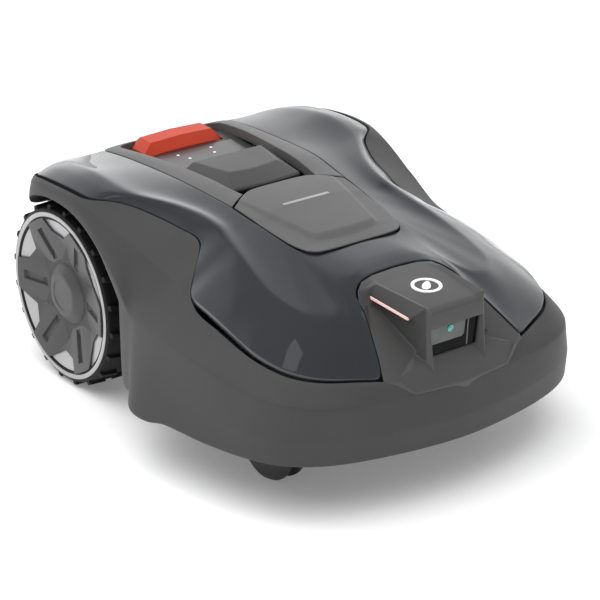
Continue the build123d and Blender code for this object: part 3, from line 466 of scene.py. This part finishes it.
# ------------------------------------------------------------------------------------------
# Top cover: the glossy painted panel between the shell, the pod and the middle panels
# ------------------------------------------------------------------------------------------
ZONES = (10, 6, 14, 12, 26)
PANEL_EDGE = join(
    rail([(0, -124, 199), (36, -123, 197.5), (50, -119, 196.5), None, (57, -109, 197.6), (60, -98, 199.5), None,
          (64, -57, 206), None, (66.4, -30, 210), None, (68, -6, 213.5), (74, 47, 218), (75, 92, 217.5),
          (76.5, 160, 214), (77, 205.5, 208.5)], ZONES))
POD_REAR = rail([(0, -171, 191), (26, -172.5, 190.5), (41, -175.5, 188.5), (50, -181, 184.5), (56.5, -191, 179),
                 (58.5, -203, 174.5)], (ZONES[0],))
POD_SIDE = rail([(58.5, -203, 174.5), (66, -223, 162), (74, -244, 147), (81, -260, 134)], (ZONES[1],))
COVER_EDGE = rail([(81, -260, 134), (106, -247, 136), (128, -236, 138), (148, -216, 142), (156, -195, 145.7),
                   (160.5, -175, 150.1), (161, -149, 155.4), (161, -122, 161.9), None, (160.2, -91, 166.7),
                   (159.6, -78, 167.8), (156.5, -70.2, 168.2), (149, -61.8, 172.3), (138.6, -52.4, 182),
                   (125.5, -40, 191.2), (118.2, -33.8, 197.3), None]
                  + [(116.7, -25, 200.8), (120.2, -13.3, 203), (123.7, 2.4, 205.2), (127.7, 20.4, 207.6),
                     (138.9, 48.1, 212.6), (148.2, 63, 214.8), (159.4, 71.4, 217), (165.8, 80.5, 216.6),
                     (168, 88, 216.9), (168.6, 102, 217.4), (169.5, 132, 216.7), (167.8, 168, 213.2),
                     (164.8, 184.8, 209.2), (158.6, 194.8, 206.2), (145, 199.6, 205.2)], (ZONES[2], ZONES[3], ZONES[4]))
OUTER = join(POD_REAR, POD_SIDE, COVER_EDGE)
SHOULDER = rail([(0, -152, 196), (30, -153, 195), (45, -157.5, 191.5), (58, -166, 186.5), None, (66, -183, 180),
                 (78, -196, 174), None, (92, -197, 172), (105, -185, 172.5), (112, -165, 176.5), (114, -140, 182),
                 (112, -115, 188.5), None, (107, -80, 198.5), (102, -50, 206), (99.5, -33, 210.5), None,
                 (102, -8, 214.5), (112.5, 21.7, 217.7), (124.5, 43.6, 219.6), (133, 58, 221), (139, 81, 224),
                 (140.5, 100, 226), (140, 122, 226.6), (138.5, 148, 223.6), (136, 172, 219.5), (128, 192, 214),
                 (118, 203, 209.5)], ZONES)


def between(a, b, share, lift):
    """A rail part of the way from one rail to another, lifted a little."""
    out = a * (1 - share) + b * share
    out[:, 2] += lift
    return out


def top_cover():
    """The painted cover with its turned-down edges."""
    bm = bmesh.new()
    count = len(OUTER)
    weight = np.zeros(count)
    start = ZONES[0] + ZONES[1]
    weight[start:] = 1.0
    weight[ZONES[0]:start] = np.linspace(0.1, 1, ZONES[1])
    bulge = np.interp(np.arange(count), (0, start, start + 14, start + 26, count - 1), (0.4, 1.5, 3.2, 1.0, 2.5))
    dip = np.interp(np.arange(count), (0, start, start + 14, start + 26, start + 36, count - 1),
                    (0.2, 0.5, -1.5, -3.2, -3.5, -1.0))
    wall = np.interp(np.arange(count), (0, start - 1, start + 1, start + 6, start + 14, start + 20, count - 1),
                     (5, 5, 3.2, 5, 7.5, 6, 5))
    waist = between(PANEL_EDGE, SHOULDER, 0.55, 0)
    waist[:, 2] += dip
    flank = between(SHOULDER, OUTER, 0.5, 0)
    flank[:, 2] += bulge
    flank[:, 0] += bulge * 0.6 * (flank[:, 0] > 1)
    down = OUTER.copy()
    down[:, 2] -= wall
    rim = OUTER.copy()
    rim[:, 2] -= 1.1
    rows = [moved(inset(PANEL_EDGE, 0.2), z=-6), moved(PANEL_EDGE, z=-1.0), PANEL_EDGE,
            support(PANEL_EDGE, waist, 1.3), waist, support(SHOULDER, waist, 8), SHOULDER,
            support(SHOULDER, flank, 8), flank, support(OUTER, flank, 1.5), OUTER, rim,
            down, inset(down, 2.5)]
    add_sheet(bm, rows)
    mirror_mesh(bm)
    return make_piece("painted_cover_skin", bm, "outer_body", "painted_cover", ("top_cover",), levels=2, thick=2.0)


# ------------------------------------------------------------------------------------------
# Middle panels: the front hatch, the rear panel, the tray and its keypad
# ------------------------------------------------------------------------------------------
HATCH_FRONT = [(0, -122.6, 0), (36, -121.6, 0), (48, -118.4, 0), (54, -112, 0)]
HATCH_SIDE = [(54, -112, 0), (58.6, -97, 0), (62.6, -57, 0), (65, -12.4, 0)]
HATCH_REAR = [(0, 7, 0), (34, 6.5, 0), (42, 3.2, 0), (65, -12.4, 0)]


def hatch_height(x, y):
    """The height of the hatch: a gentle crown with a raised badge field."""
    edge = np.interp(y, (-124, -108, -98, -57, -11, 8), (199.6, 200.4, 201.5, 206.8, 213.4, 215.6))
    half = np.interp(y, (-124, -108, -57, -11, 8), (52, 57, 64, 66, 67))
    crown = np.interp(y, (-124, -100, 8), (0.8, 3.6, 2.6)) * (1 - (x / half) ** 2)
    field_half = np.interp(y, (-106, -100, -45, 8), (30, 36, 48, 58))
    side = np.clip((field_half + 3 - abs(x)) / 5, 0, 1)
    front = np.clip((y + 112 - 0.004 * x * x) / 11, 0, 1)
    fade = np.clip((10 - y) / 60, 0, 1)
    step = side * side * (3 - 2 * side) * fade + (1 - fade)
    rise = front * front * (3 - 2 * front)
    return edge + crown + 3.0 * rise * step - 3.0 * np.clip((y + 40) / 48, 0, 1)


def front_hatch():
    """The hatch in front of the height lid."""
    bm = bmesh.new()
    front = smooth_line(HATCH_FRONT, 10)
    side = smooth_line(HATCH_SIDE, 10)
    rear = smooth_line(HATCH_REAR, 10)
    spine = np.array([(0, -122.6, 0), (0, 7, 0)], float)
    rows = coons(front, rear, spine, side, 44, 78)
    for row in rows:
        row[:, 2] = hatch_height(row[:, 0], row[:, 1])
    grid = add_sheet(bm, rows)
    border = [v for v in grid[0]] + [row[-1] for row in grid[1:]] + list(reversed(grid[-1][:-1]))
    line = np.array([tuple(v.co / MM) for v in border])
    rounds = [border]
    for out, drop in ((0.35, 0.15), (0.6, 0.6), (0.5, 1.5), (-1.4, 2.1), (-1.6, 6)):
        ring = moved(inset(line, -out), z=-drop)
        rounds.append([bm.verts.new(Vector(p) * MM) for p in ring])
    for a, b in zip(rounds, rounds[1:]):
        for i in range(len(a) - 1):
            bm.faces.new((a[i], a[i + 1], b[i + 1], b[i]))
    mirror_mesh(bm)
    make_piece("front_hatch_skin", bm, "outer_body", "satin_panel", ("front_hatch",))
    bm = bmesh.new()
    rings = []
    for lift, grow in ((-0.6, 0.0), (0.35, 0.0), (0.6, -0.35)):
        ring = []
        for t in range(32):
            turn = 2 * math.pi * (t + 0.5) / 32
            x = (25 if math.cos(turn) > 0 else -25) + (2.1 + grow) * math.cos(turn)
            y = -38 + (2.1 + grow) * math.sin(turn)
            ring.append((x, y, float(hatch_height(x, y)) + lift))
        rings.append(ring)
    add_loft(bm, rings)
    make_piece("plain_badge_bar", bm, "outer_body", "silver_disc")


def centre_panel():
    """The frame round the tray."""
    bm = bmesh.new()
    counts = (4, 30, 8, 10)
    outer = rail([(67, -10, 213.7), (68.2, 5, 214.9), None, (73, 47, 218.3), (74, 92, 217.8), (75.4, 160, 214.3),
                  (76, 196, 210.2), None, (75, 203.5, 208.9), (70, 206.5, 208.6), None, (35, 208, 208.8),
                  (0, 208.3, 209)], counts)
    inner = rail([(43.5, 5, 216.2), (45, 12, 216.6), None, (50, 50, 219.6), (54, 94, 219.4), (59.5, 150, 216.6),
                  (61.5, 186, 212.6), None, (60, 197, 211), (52, 201.5, 210.4), None, (30, 202.3, 210.3),
                  (0, 202.5, 210.4)], counts)
    middle = between(outer, inner, 0.5, 0.9)
    rows = [moved(outer, z=-6), moved(outer, z=-1), outer, support(outer, middle, 1.2), middle,
            support(inner, middle, 1.4), inner, moved(inner, z=-1.2), moved(inset(inner, 0.4), z=-5),
            moved(inset(inner, 0.8), z=-10.4)]
    add_sheet(bm, rows)
    mirror_mesh(bm)
    return make_piece("centre_panel_skin", bm, "outer_body", "satin_panel", ("centre_panel",), levels=2, thick=1.4)


def loft_piece(name, rings, body, slot, nodes=(), bevel=1.5, close=True):
    """A closed faceted piece between rings of points, with rolled edges."""
    bm = bmesh.new()
    add_loft(bm, rings, close)
    return make_piece(name, bm, body, slot, nodes, bevel=bevel)


def keypad_icons():
    """Small plain marks on the keypad."""
    bm = bmesh.new()
    for x, y in ((-20, 152), (20, 152), (-15, 138), (15, 138)):
        add_loft(bm, [[(x + r * math.cos(t * math.pi / 8), y + r * math.sin(t * math.pi / 8), z) for t in range(16)]
                      for r, z in ((1.6, 206.0), (1.6, 206.35), (1.3, 206.45))])
    make_piece("keypad_marks", bm, "outer_body", "emblem_white")


def stop_bar():
    """The stop bar: chamfered ends, a sloping front and a broad flat top."""
    def section(x, y0, y1, z_top, lead):
        return [(x, y0, 197), (x, y0 - 0.2, z_top - 10.5), (x, y0 + lead, z_top), (x, y1 - 5, z_top),
                (x, y1, z_top - 4), (x, y1, 197)]

    rings = [section(-46, 171, 200, 206.5, 2.5), section(-37, 168.4, 201.6, 216.2, 7.5),
             section(0, 167.6, 202, 217.5, 8), section(37, 168.4, 201.6, 216.2, 7.5),
             section(46, 171, 200, 206.5, 2.5)]
    return loft_piece("stop_bar_skin", rings, "stop_button", "button_orange", ("stop_button",), bevel=1.6)


def height_cover():
    """The lid over the height knob: a low frustum with broad sloping sides."""
    def outline(z, corners):
        return [(x, y, z) for x, y in corners]

    def ring(front_half, front, rear_half, rear, z, belly=2.0):
        half = [(0, front - belly), (front_half * 0.55, front - belly * 0.7), (front_half, front),
                (rear_half, rear), (rear_half * 0.5, rear)]
        other = [(-x, y) for x, y in reversed(half[1:-1])] + []
        pts = half + [(0, rear)] + [(-half[4][0], half[4][1])] + other
        return outline(z, pts)

    rings = [ring(38, 27, 49, 99, 206.5, 1), ring(40.5, 24.5, 49.8, 99, 211.5, 3),
             ring(39, 26.2, 48.6, 98.4, 214, 3.5), ring(31, 49, 41.5, 95, 221, 5),
             ring(28, 52, 39, 92, 221.8, 5)]
    return loft_piece("height_lid_skin", rings, "height_lid", "lid_plastic", ("height_lid",), bevel=2.2)


# ------------------------------------------------------------------------------------------
# Camera pod: a faceted housing with raised side rails, side pockets and a framed window
# ------------------------------------------------------------------------------------------
POD = {
    "C0": (0, -172.8, 190.3), "T1": (26, -174.3, 189.9), "T2": (41, -177.2, 187.8), "T3": (49, -182.5, 183.8),
    "T4": (55.2, -192, 178.2), "T5": (57.2, -203.5, 173.6), "T6": (65, -223.5, 161), "T7": (73, -244.5, 146),
    "T8": (80, -260.8, 133.2), "Cb": (0, -184, 190.3), "C1": (0, -215, 189.3), "C2": (0, -257, 187),
    "C3": (0, -263.5, 183.5), "C4": (0, -266.5, 169), "E0": (33, -184, 189.6), "E1": (31, -215, 188.4),
    "E2": (27.5, -257, 186), "E3": (28, -263, 182.5), "E4": (30.5, -265.5, 169), "W0": (43, -187, 184.5),
    "R0": (37.8, -196, 191.4), "R1": (33.6, -261.5, 190.2), "L0": (41, -190.5, 178.5), "L1": (39.5, -246, 175.5),
    "N0": (36.5, -190, 175.5), "N1": (35, -247, 172), "A": (47, -194.5, 171), "B": (41.5, -254, 141),
    "A2": (44, -195.5, 169), "B2": (38.5, -252, 142.5), "Q0": (36.5, -196, 168), "Q1": (35.5, -251.5, 145),
    "P1": (34, -258, 172), "P2": (34, -264, 138), "K1": (62.5, -264.5, 133), "K2": (50, -265, 138),
    "WT": (28.2, -262, 167.5), "WB": (25.4, -262, 140.3), "Wt": (0, -262.4, 167.5), "Wb": (0, -262.4, 140.3),
    "S1": (30, -270.5, 129.8), "s1": (0, -272.3, 130), "S2": (31.5, -272.8, 124.5), "s2": (0, -274.8, 124.8),
    "G1": (80, -263.6, 130.8), "G2": (66.5, -268.8, 129.2), "G3": (53.5, -274.6, 117.2), "G4": (0, -281.2, 117.2),
}
POD_FACES = (
    "C0 T1 E0 Cb", "T1 T2 E0", "Cb E0 E1 C1", "C1 E1 E2 C2", "C2 E2 E3 C3", "C3 E3 E4 C4", "T2 T3 W0", "T2 W0 E0",
    "T3 T4 A W0", "T4 T5 A", "E0 R0 E1", "E0 W0 R0", "E1 R0 R1 E2", "E2 R1 E3", "W0 L0 R0", "R0 L0 L1 R1",
    "L0 N0 N1 L1", "R1 L1 N1 P1", "W0 A A2 L0", "L0 A2 N0", "A B B2 A2", "A2 B2 Q1 Q0", "Q0 Q1 N1 N0", "A2 Q0 N0",
    "Q1 P1 N1", "B2 P2 P1 Q1", "B P2 B2", "R1 P1 P2", "E3 R1 E4", "R1 P2 S1 E4", "P2 S2 S1", "E4 S1 WB WT",
    "C4 E4 WT Wt", "Wb WB S1 s1", "s1 S1 S2 s2", "A T5 T6", "A T6 B", "T6 T7 B", "T7 T8 K1 B", "B K1 K2",
    "B K2 P2", "T8 G1 G2 K1", "K1 G2 G3 K2", "K2 G3 S2 P2", "s2 S2 G3 G4",
)


def pod_height(y):
    """The height of the pod's flat top along its middle."""
    return float(np.interp(y, (-257, -215, -184), (187, 189.3, 190.3)))


def camera_pod():
    """The pod housing in one faceted skin with rolled edges."""
    bm = bmesh.new()
    verts = {key: bm.verts.new(Vector(p) * MM) for key, p in POD.items()}
    for face in POD_FACES:
        bm.faces.new([verts[key] for key in face.split()])
    border = [verts[key] for key in "C0 T1 T2 T3 T4 T5 T6 T7 T8 G1 G2 G3 G4".split()]
    below = [bm.verts.new(v.co + Vector((0, 0, -6 * MM))) for v in border]
    for i in range(len(border) - 1):
        bm.faces.new((border[i], border[i + 1], below[i + 1], below[i]))
    window = [verts[key] for key in ("Wt", "WT", "WB", "Wb")]
    inner = [bm.verts.new(v.co + Vector((0, 3 * MM, 0))) for v in window]
    for i in range(3):
        bm.faces.new((window[i], window[i + 1], inner[i + 1], inner[i]))
    mirror_mesh(bm)
    make_piece("camera_pod_skin", bm, "outer_body", "pod_plastic", ("pod_housing", "pod_top"), bevel=1.3)


def pane(name, corners, y, thick, look, nodes, bevel):
    """An upright plate across the window, its corners given as (x, z)."""
    bm = bmesh.new()
    add_loft(bm, [[(x, y, z) for x, z in corners], [(x, y + thick, z) for x, z in corners]])
    make_piece(name, bm, "outer_body", "window_glass", nodes, mats=[look], bevel=bevel)


def pod_details():
    """Glass, a camera plate with a painted sheen, the lens with a painted glint, lamps and the round emblem."""
    pane("camera_window_pane", [(-28.8, 168.2), (28.8, 168.2), (26, 139.6), (-26, 139.6)], -260.6, 1.2,
         "window_glass", ("camera_window",), 0.3)
    # A lighter grey sheet just in front of the glass: partly the camera bracket seen through the window, partly a
    # painted reflection (sheen).
    pane("camera_plate_painted_sheen", [(-27.4, 166.8), (13.5, 166.8), (12, 153.5), (9.5, 151), (-26, 151)], -260.9, 0.8,
         "window_sheen", (), 0.3)
    pane("window_divider", [(16.2, 166.8), (17.6, 166.8), (16, 141), (14.6, 141)], -260.9, 0.8,
         "window_sheen", (), 0.2)
    # A small dome standing for the lens; its turquoise colour is a painted glint.
    bm = bmesh.new()
    rings = []
    for r, y in ((3.4, -261.0), (3.4, -261.6), (2.5, -261.8), (2.4, -261.5), (1.6, -262.0), (0.4, -262.2)):
        rings.append([(-4.6 + r * math.cos(t * math.pi / 16), y, 162.6 + r * math.sin(t * math.pi / 16))
                      for t in range(32)])
    add_loft(bm, rings)
    make_piece("lens_painted_glint", bm, "outer_body", "lens_glass", ("camera_lens",), bevel=0.1)
    for side, tag in ((-1, "right"), (1, "left")):
        if side > 0:
            bm = bmesh.new()
            rings = [[(side * x, -262.6 + r * math.cos(t * math.pi / 12), 149 + r * math.sin(t * math.pi / 12))
                      for t in range(24)] for x, r in ((33, 3.4), (36.2, 3.4), (37, 2.7), (36.4, 2.2), (36.4, 0.3))]
            add_loft(bm, rings)
            make_piece("washer_nozzle", bm, "outer_body", "black_plastic", bevel=0.2)
        bm = bmesh.new()
        line = [(40.9, -190.6, 178.2), (39.5, -243, 175.4)]
        rings = [[(side * (x + dx), y, z + dz) for dx, dz in ((0.25, 0.1), (0.25, -2.7), (-2.2, -2.9), (-2.2, 0.1))]
                 for x, y, z in line]
        add_loft(bm, rings)
        make_piece(f"lamp_strip_{tag}", bm, "outer_body", "light_strip", ("light_strips",) if side > 0 else (),
                   bevel=0.35)
    bm = bmesh.new()
    centre = -221
    for outer, inner in ((14.5, 11.2),):
        rows = []
        for r, lift in ((inner, -0.6), (inner, 0.55), (inner + 0.35, 0.8), (outer - 0.35, 0.8), (outer, 0.55),
                        (outer, -0.6)):
            rows.append([(r * math.cos(t * math.pi / 36), centre + r * math.sin(t * math.pi / 36),
                          pod_height(centre + r * math.sin(t * math.pi / 36)) + lift) for t in range(73)])
        add_sheet(bm, rows)
    bmesh.ops.remove_doubles(bm, verts=bm.verts[:], dist=0.00002)
    leaf = []
    for lift, grow in ((-0.6, 1.0), (0.55, 1.0), (0.8, 0.92)):
        ring = []
        for t in range(28):
            turn = 2 * math.pi * t / 28
            along = 8.4 * math.cos(turn) * grow
            across = 3.9 * math.sin(turn) * grow * (1 - 0.35 * math.cos(turn))
            x, y = along * 0.707 - across * 0.707, centre + along * 0.707 + across * 0.707
            ring.append((x, y, pod_height(y) + lift))
        leaf.append(ring)
    add_loft(bm, leaf)
    make_piece("ring_emblem", bm, "outer_body", "emblem_white", ("pod_emblem",))


# ------------------------------------------------------------------------------------------
# Wheels
# ------------------------------------------------------------------------------------------
AXLE_Y = 141
AXLE_Z = 94.5


def polar(side, x, radius, degrees):
    """A point on a wheel from its distance along the axle, its radius and its angle."""
    turn = math.radians(degrees)
    return (side * x, AXLE_Y - radius * math.cos(turn), AXLE_Z + radius * math.sin(turn))


def tyre(side, tag):
    """A rubber tyre with two staggered rows of slanted lugs."""
    bm = bmesh.new()
    add_turned(bm, [(124.6, 77.5), (124.3, 84), (126, 88), (130, 90), (147.8, 90.3), (165.4, 90), (169.8, 88.6),
                    (171.4, 85.6), (171.2, 79), (169.5, 77.5)], (0, AXLE_Y, AXLE_Z), side, 120)
    for row, (x0, x1) in enumerate(((126.5, 145.5), (148.8, 169.6))):
        for k in range(20):
            base = (k + 0.5 * row) * 18
            slant = 2.4 if row else -2.4
            low = []
            high = []
            for x, turn in ((x0, base - 2.1), (x0, base + 2.1), (x1, base + slant + 1.9), (x1, base + slant - 1.9)):
                near_edge = 0.9 if abs(x - 169.6) < 0.1 else 0
                low.append(polar(side, x, 87.5, turn))
                high.append(polar(side, x - near_edge, 94.2 - near_edge, turn * 0.86 + (base + slant / 2) * 0.14))
            add_loft(bm, [low, high])
    return make_piece(f"tyre_skin_{tag}", bm, f"wheel_{tag}", "tyre_rubber", (f"tyre_{tag}",), bevel=0.55)


def silver_disc(side, tag):
    """The bright ring and the sloping petals that show between the hubcap's arms."""
    bm = bmesh.new()
    profile = [(156.5, 28), (158.6, 40), (163.6, 58), (168.4, 72), (170.4, 80.2), (171.8, 81.2), (172, 84.6),
               (171.4, 85.6), (168, 86), (166.4, 83), (161.5, 58), (156.8, 40), (155.3, 28)]
    add_turned(bm, profile, (0, AXLE_Y, AXLE_Z), side, 144)
    return make_piece(f"silver_disc_{tag}", bm, f"wheel_{tag}", "silver_disc", (f"wheel_disc_{tag}",), bevel=0.3)


def hubcap(side, tag):
    """A faceted hubcap: six slotted arms, sunken webs between them and a raised boss."""
    bm = bmesh.new()
    sink = 5.0

    def dish(radius):
        return float(np.interp(radius, (29, 37, 62, 79), (160.2, 162.8, 169.2, 173.4)))

    def at(angle, along, across, drop):
        x = dish(along) - drop
        turn = math.radians(angle)
        u = along * math.cos(turn) - across * math.sin(turn)
        w = along * math.sin(turn) + across * math.cos(turn)
        return bm.verts.new(Vector((side * x, AXLE_Y - u, AXLE_Z + w)) * MM)

    arms = []
    for k in range(6):
        angle = 60 * k
        grid = []
        for along, wide, slot in ((29, 9.4, 4.2), (37, 10.6, 4.2), (70, 14.6, 4.8), (79, 16.2, 5.4)):
            end = 0.9 if along == 79 else 0
            grid.append([at(angle, along - end, -wide, 0), at(angle, along, -slot, 0),
                         at(angle, along, slot, 0), at(angle, along - end, wide, 0)])
        for i in range(3):
            for j in range(3):
                if (i, j) != (1, 1):
                    bm.faces.new((grid[i][j], grid[i][j + 1], grid[i + 1][j + 1], grid[i + 1][j]))
        rim = [grid[1][1], grid[1][2], grid[2][2], grid[2][1]]
        floor = [at(angle, a, c, 3.2) for a, c in ((38.2, -3.2), (38.2, 3.2), (68.8, 3.8), (68.8, -3.8))]
        for i in range(4):
            bm.faces.new((rim[i], rim[(i + 1) % 4], floor[(i + 1) % 4], floor[i]))
        bm.faces.new(floor)
        arms.append(grid)
    edge = []
    for k in range(6):
        here, after = arms[k], arms[(k + 1) % 6]
        angle = 60 * k
        hub = at(angle + 30, 30.5, 0, 1.4)
        mid = at(angle + 29, 49, 0, 4.2)
        z1 = at(angle + 17.5, 71.5, 0, 1.2)
        z2 = at(angle + 28, 61, 0, 2.6)
        z3 = at(angle + 43.5, 66, 0, 1.6)
        a, c = [row[3] for row in here], [row[0] for row in after]
        for face in ((a[0], a[1], mid, hub), (a[1], a[2], z1, mid), (a[2], a[3], z1), (z1, z2, mid), (z2, z3, mid),
                     (mid, z3, c[2], c[1]), (z3, c[3], c[2]), (hub, mid, c[1], c[0])):
            bm.faces.new(face)
        edge += [here[3][0], here[3][1], here[3][2], here[3][3], z1, z2, z3]
    under = [bm.verts.new(v.co - Vector((side * sink * MM, 0, 0))) for v in edge]
    for i in range(len(edge)):
        j = (i + 1) % len(edge)
        bm.faces.new((edge[i], edge[j], under[j], under[i]))
    rings = []
    for x, radius, hexed in ((159, 32.5, 0.0), (162.2, 31.6, 0.0), (164.4, 29.6, 0.12), (168.4, 22.8, 0.5),
                             (169, 20.8, 0.5), (169, 16.4, 0.3), (168.3, 15.6, 0.3), (168.3, 0.6, 0)):
        ring = []
        for i in range(72):
            degrees = i * 5
            off = abs((degrees + 30) % 60 - 30) / 30
            r = radius * (1 - hexed * 0.12 * (1 - off) ** 1.0 * 1.0)
            ring.append(bm.verts.new(Vector(polar(side, x, r, degrees)) * MM))
        rings.append(ring)
    for a, b in zip(rings, rings[1:]):
        for i in range(72):
            bm.faces.new((a[i], a[(i + 1) % 72], b[(i + 1) % 72], b[i]))
    bm.faces.new(rings[-1])
    return make_piece(f"hubcap_skin_{tag}", bm, f"wheel_{tag}", "hubcap_plastic", (f"hubcap_{tag}",), bevel=0.5)


# ------------------------------------------------------------------------------------------
# Carried CAD nodes, stage, light and camera
# ------------------------------------------------------------------------------------------
def dress_cad():
    """Give every CAD node its procedural finish, slot by slot."""
    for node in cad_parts.values():
        for part in node.material_slots:
            key = part.material.name.split(".")[0] if part.material else ""
            part.material = MATS.get(key, MATS["chassis_plastic"])


def softbox(name, place, target, size, power, size_y=None, glossy=True):
    """A large soft light."""
    data = bpy.data.lights.new(name, "AREA")
    data.shape = "RECTANGLE"
    data.size = size
    data.size_y = size_y or size
    data.energy = power
    lamp = bpy.data.objects.new(name, data)
    bpy.context.scene.collection.objects.link(lamp)
    lamp.location = place
    lamp.visible_glossy = glossy
    lamp.rotation_euler = (Vector(place) - Vector(target)).to_track_quat("Z", "Y").to_euler()
    return lamp


def studio():
    """A white floor, a white room, three soft lights and the camera."""
    scene = bpy.context.scene
    mesh = bpy.data.meshes.new("studio_floor")
    mesh.from_pydata([(-9, -9, 0), (9, -9, 0), (9, 9, 0), (-9, 9, 0)], [], [(0, 1, 2, 3)])
    floor = bpy.data.objects.new("studio_floor", mesh)
    scene.collection.objects.link(floor)
    paper = glowing(finish_material("floor_paper", (0.86, 0.86, 0.86), 0.7, tone=0.004, grain=0.0, specular=0.1),
                    (1, 1, 1), 0.16)
    mesh.materials.append(paper)
    world = bpy.data.worlds.new("studio_room")
    world.use_nodes = True
    sky = world.node_tree.nodes["Background"]
    sky.inputs["Strength"].default_value = 1.0
    place = world.node_tree.nodes.new("ShaderNodeTexCoord")
    split = world.node_tree.nodes.new("ShaderNodeSeparateXYZ")
    bands = world.node_tree.nodes.new("ShaderNodeValToRGB")
    world.node_tree.links.new(place.outputs["Generated"], split.inputs["Vector"])
    world.node_tree.links.new(split.outputs["Z"], bands.inputs["Fac"])
    facing = world.node_tree.nodes.new("ShaderNodeVectorMath")
    facing.operation = "DOT_PRODUCT"
    facing.inputs[1].default_value = (0.54, 0.735, 0)
    world.node_tree.links.new(place.outputs["Generated"], facing.inputs[0])
    side = world.node_tree.nodes.new("ShaderNodeMapRange")
    side.inputs["From Min"].default_value = -0.6
    side.inputs["From Max"].default_value = 0.6
    side.inputs["To Min"].default_value = 0.4
    side.inputs["To Max"].default_value = 1.2
    world.node_tree.links.new(facing.outputs["Value"], side.inputs["Value"])
    world.node_tree.links.new(bands.outputs["Color"], sky.inputs["Color"])
    world.node_tree.links.new(side.outputs["Result"], sky.inputs["Strength"])
    bands.color_ramp.elements[0].position = 0.0
    bands.color_ramp.elements[0].color = (1.1, 1.1, 1.1, 1)
    bands.color_ramp.elements[1].position = 1.0
    bands.color_ramp.elements[1].color = (0.1, 0.105, 0.11, 1)
    for height, level in ((0.16, 1.15), (0.4, 0.85), (0.8, 0.45), (0.86, 0.12)):
        bands.color_ramp.elements.new(height).color = (level, level, level * 1.01, 1)
    scene.world = world
    softbox("key_light", (-1.3, 2.0, 3.0), (0, 0, 0.1), 2.8, 40, glossy=False)
    softbox("top_light", (-0.7, -0.5, 3.2), (0, 0, 0.1), 4.2, 150, glossy=False)
    softbox("flank_glow", (-0.62, 0.0, 3.02), (0, 0, 0.1), 0.5, 1.3, 0.9)
    scene.view_settings.view_transform = "Standard"
    scene.view_settings.look = "None"
    scene.view_settings.exposure = 0.0
    azimuth, elevation = math.radians(-36.43), math.radians(24.0)
    back = Vector((math.sin(azimuth) * math.cos(elevation), -math.cos(azimuth) * math.cos(elevation),
                   math.sin(elevation)))
    data = bpy.data.cameras.new("photo_camera")
    data.lens = 145.2
    data.sensor_width = 36
    camera = bpy.data.objects.new("photo_camera", data)
    scene.collection.objects.link(camera)
    camera.location = Vector((-0.0054, -0.0355, 0.1095)) + back * 2.3548
    camera.rotation_euler = (-back).to_track_quat("-Z", "Y").to_euler()
    scene.camera = camera


dress_cad()
body_shell()
top_cover()
front_hatch()
centre_panel()
keypad_icons()
stop_bar()
height_cover()
camera_pod()
pod_details()
for wheel_side, wheel_tag in ((-1, "right"), (1, "left")):
    tyre(wheel_side, wheel_tag)
    silver_disc(wheel_side, wheel_tag)
    hubcap(wheel_side, wheel_tag)
studio()
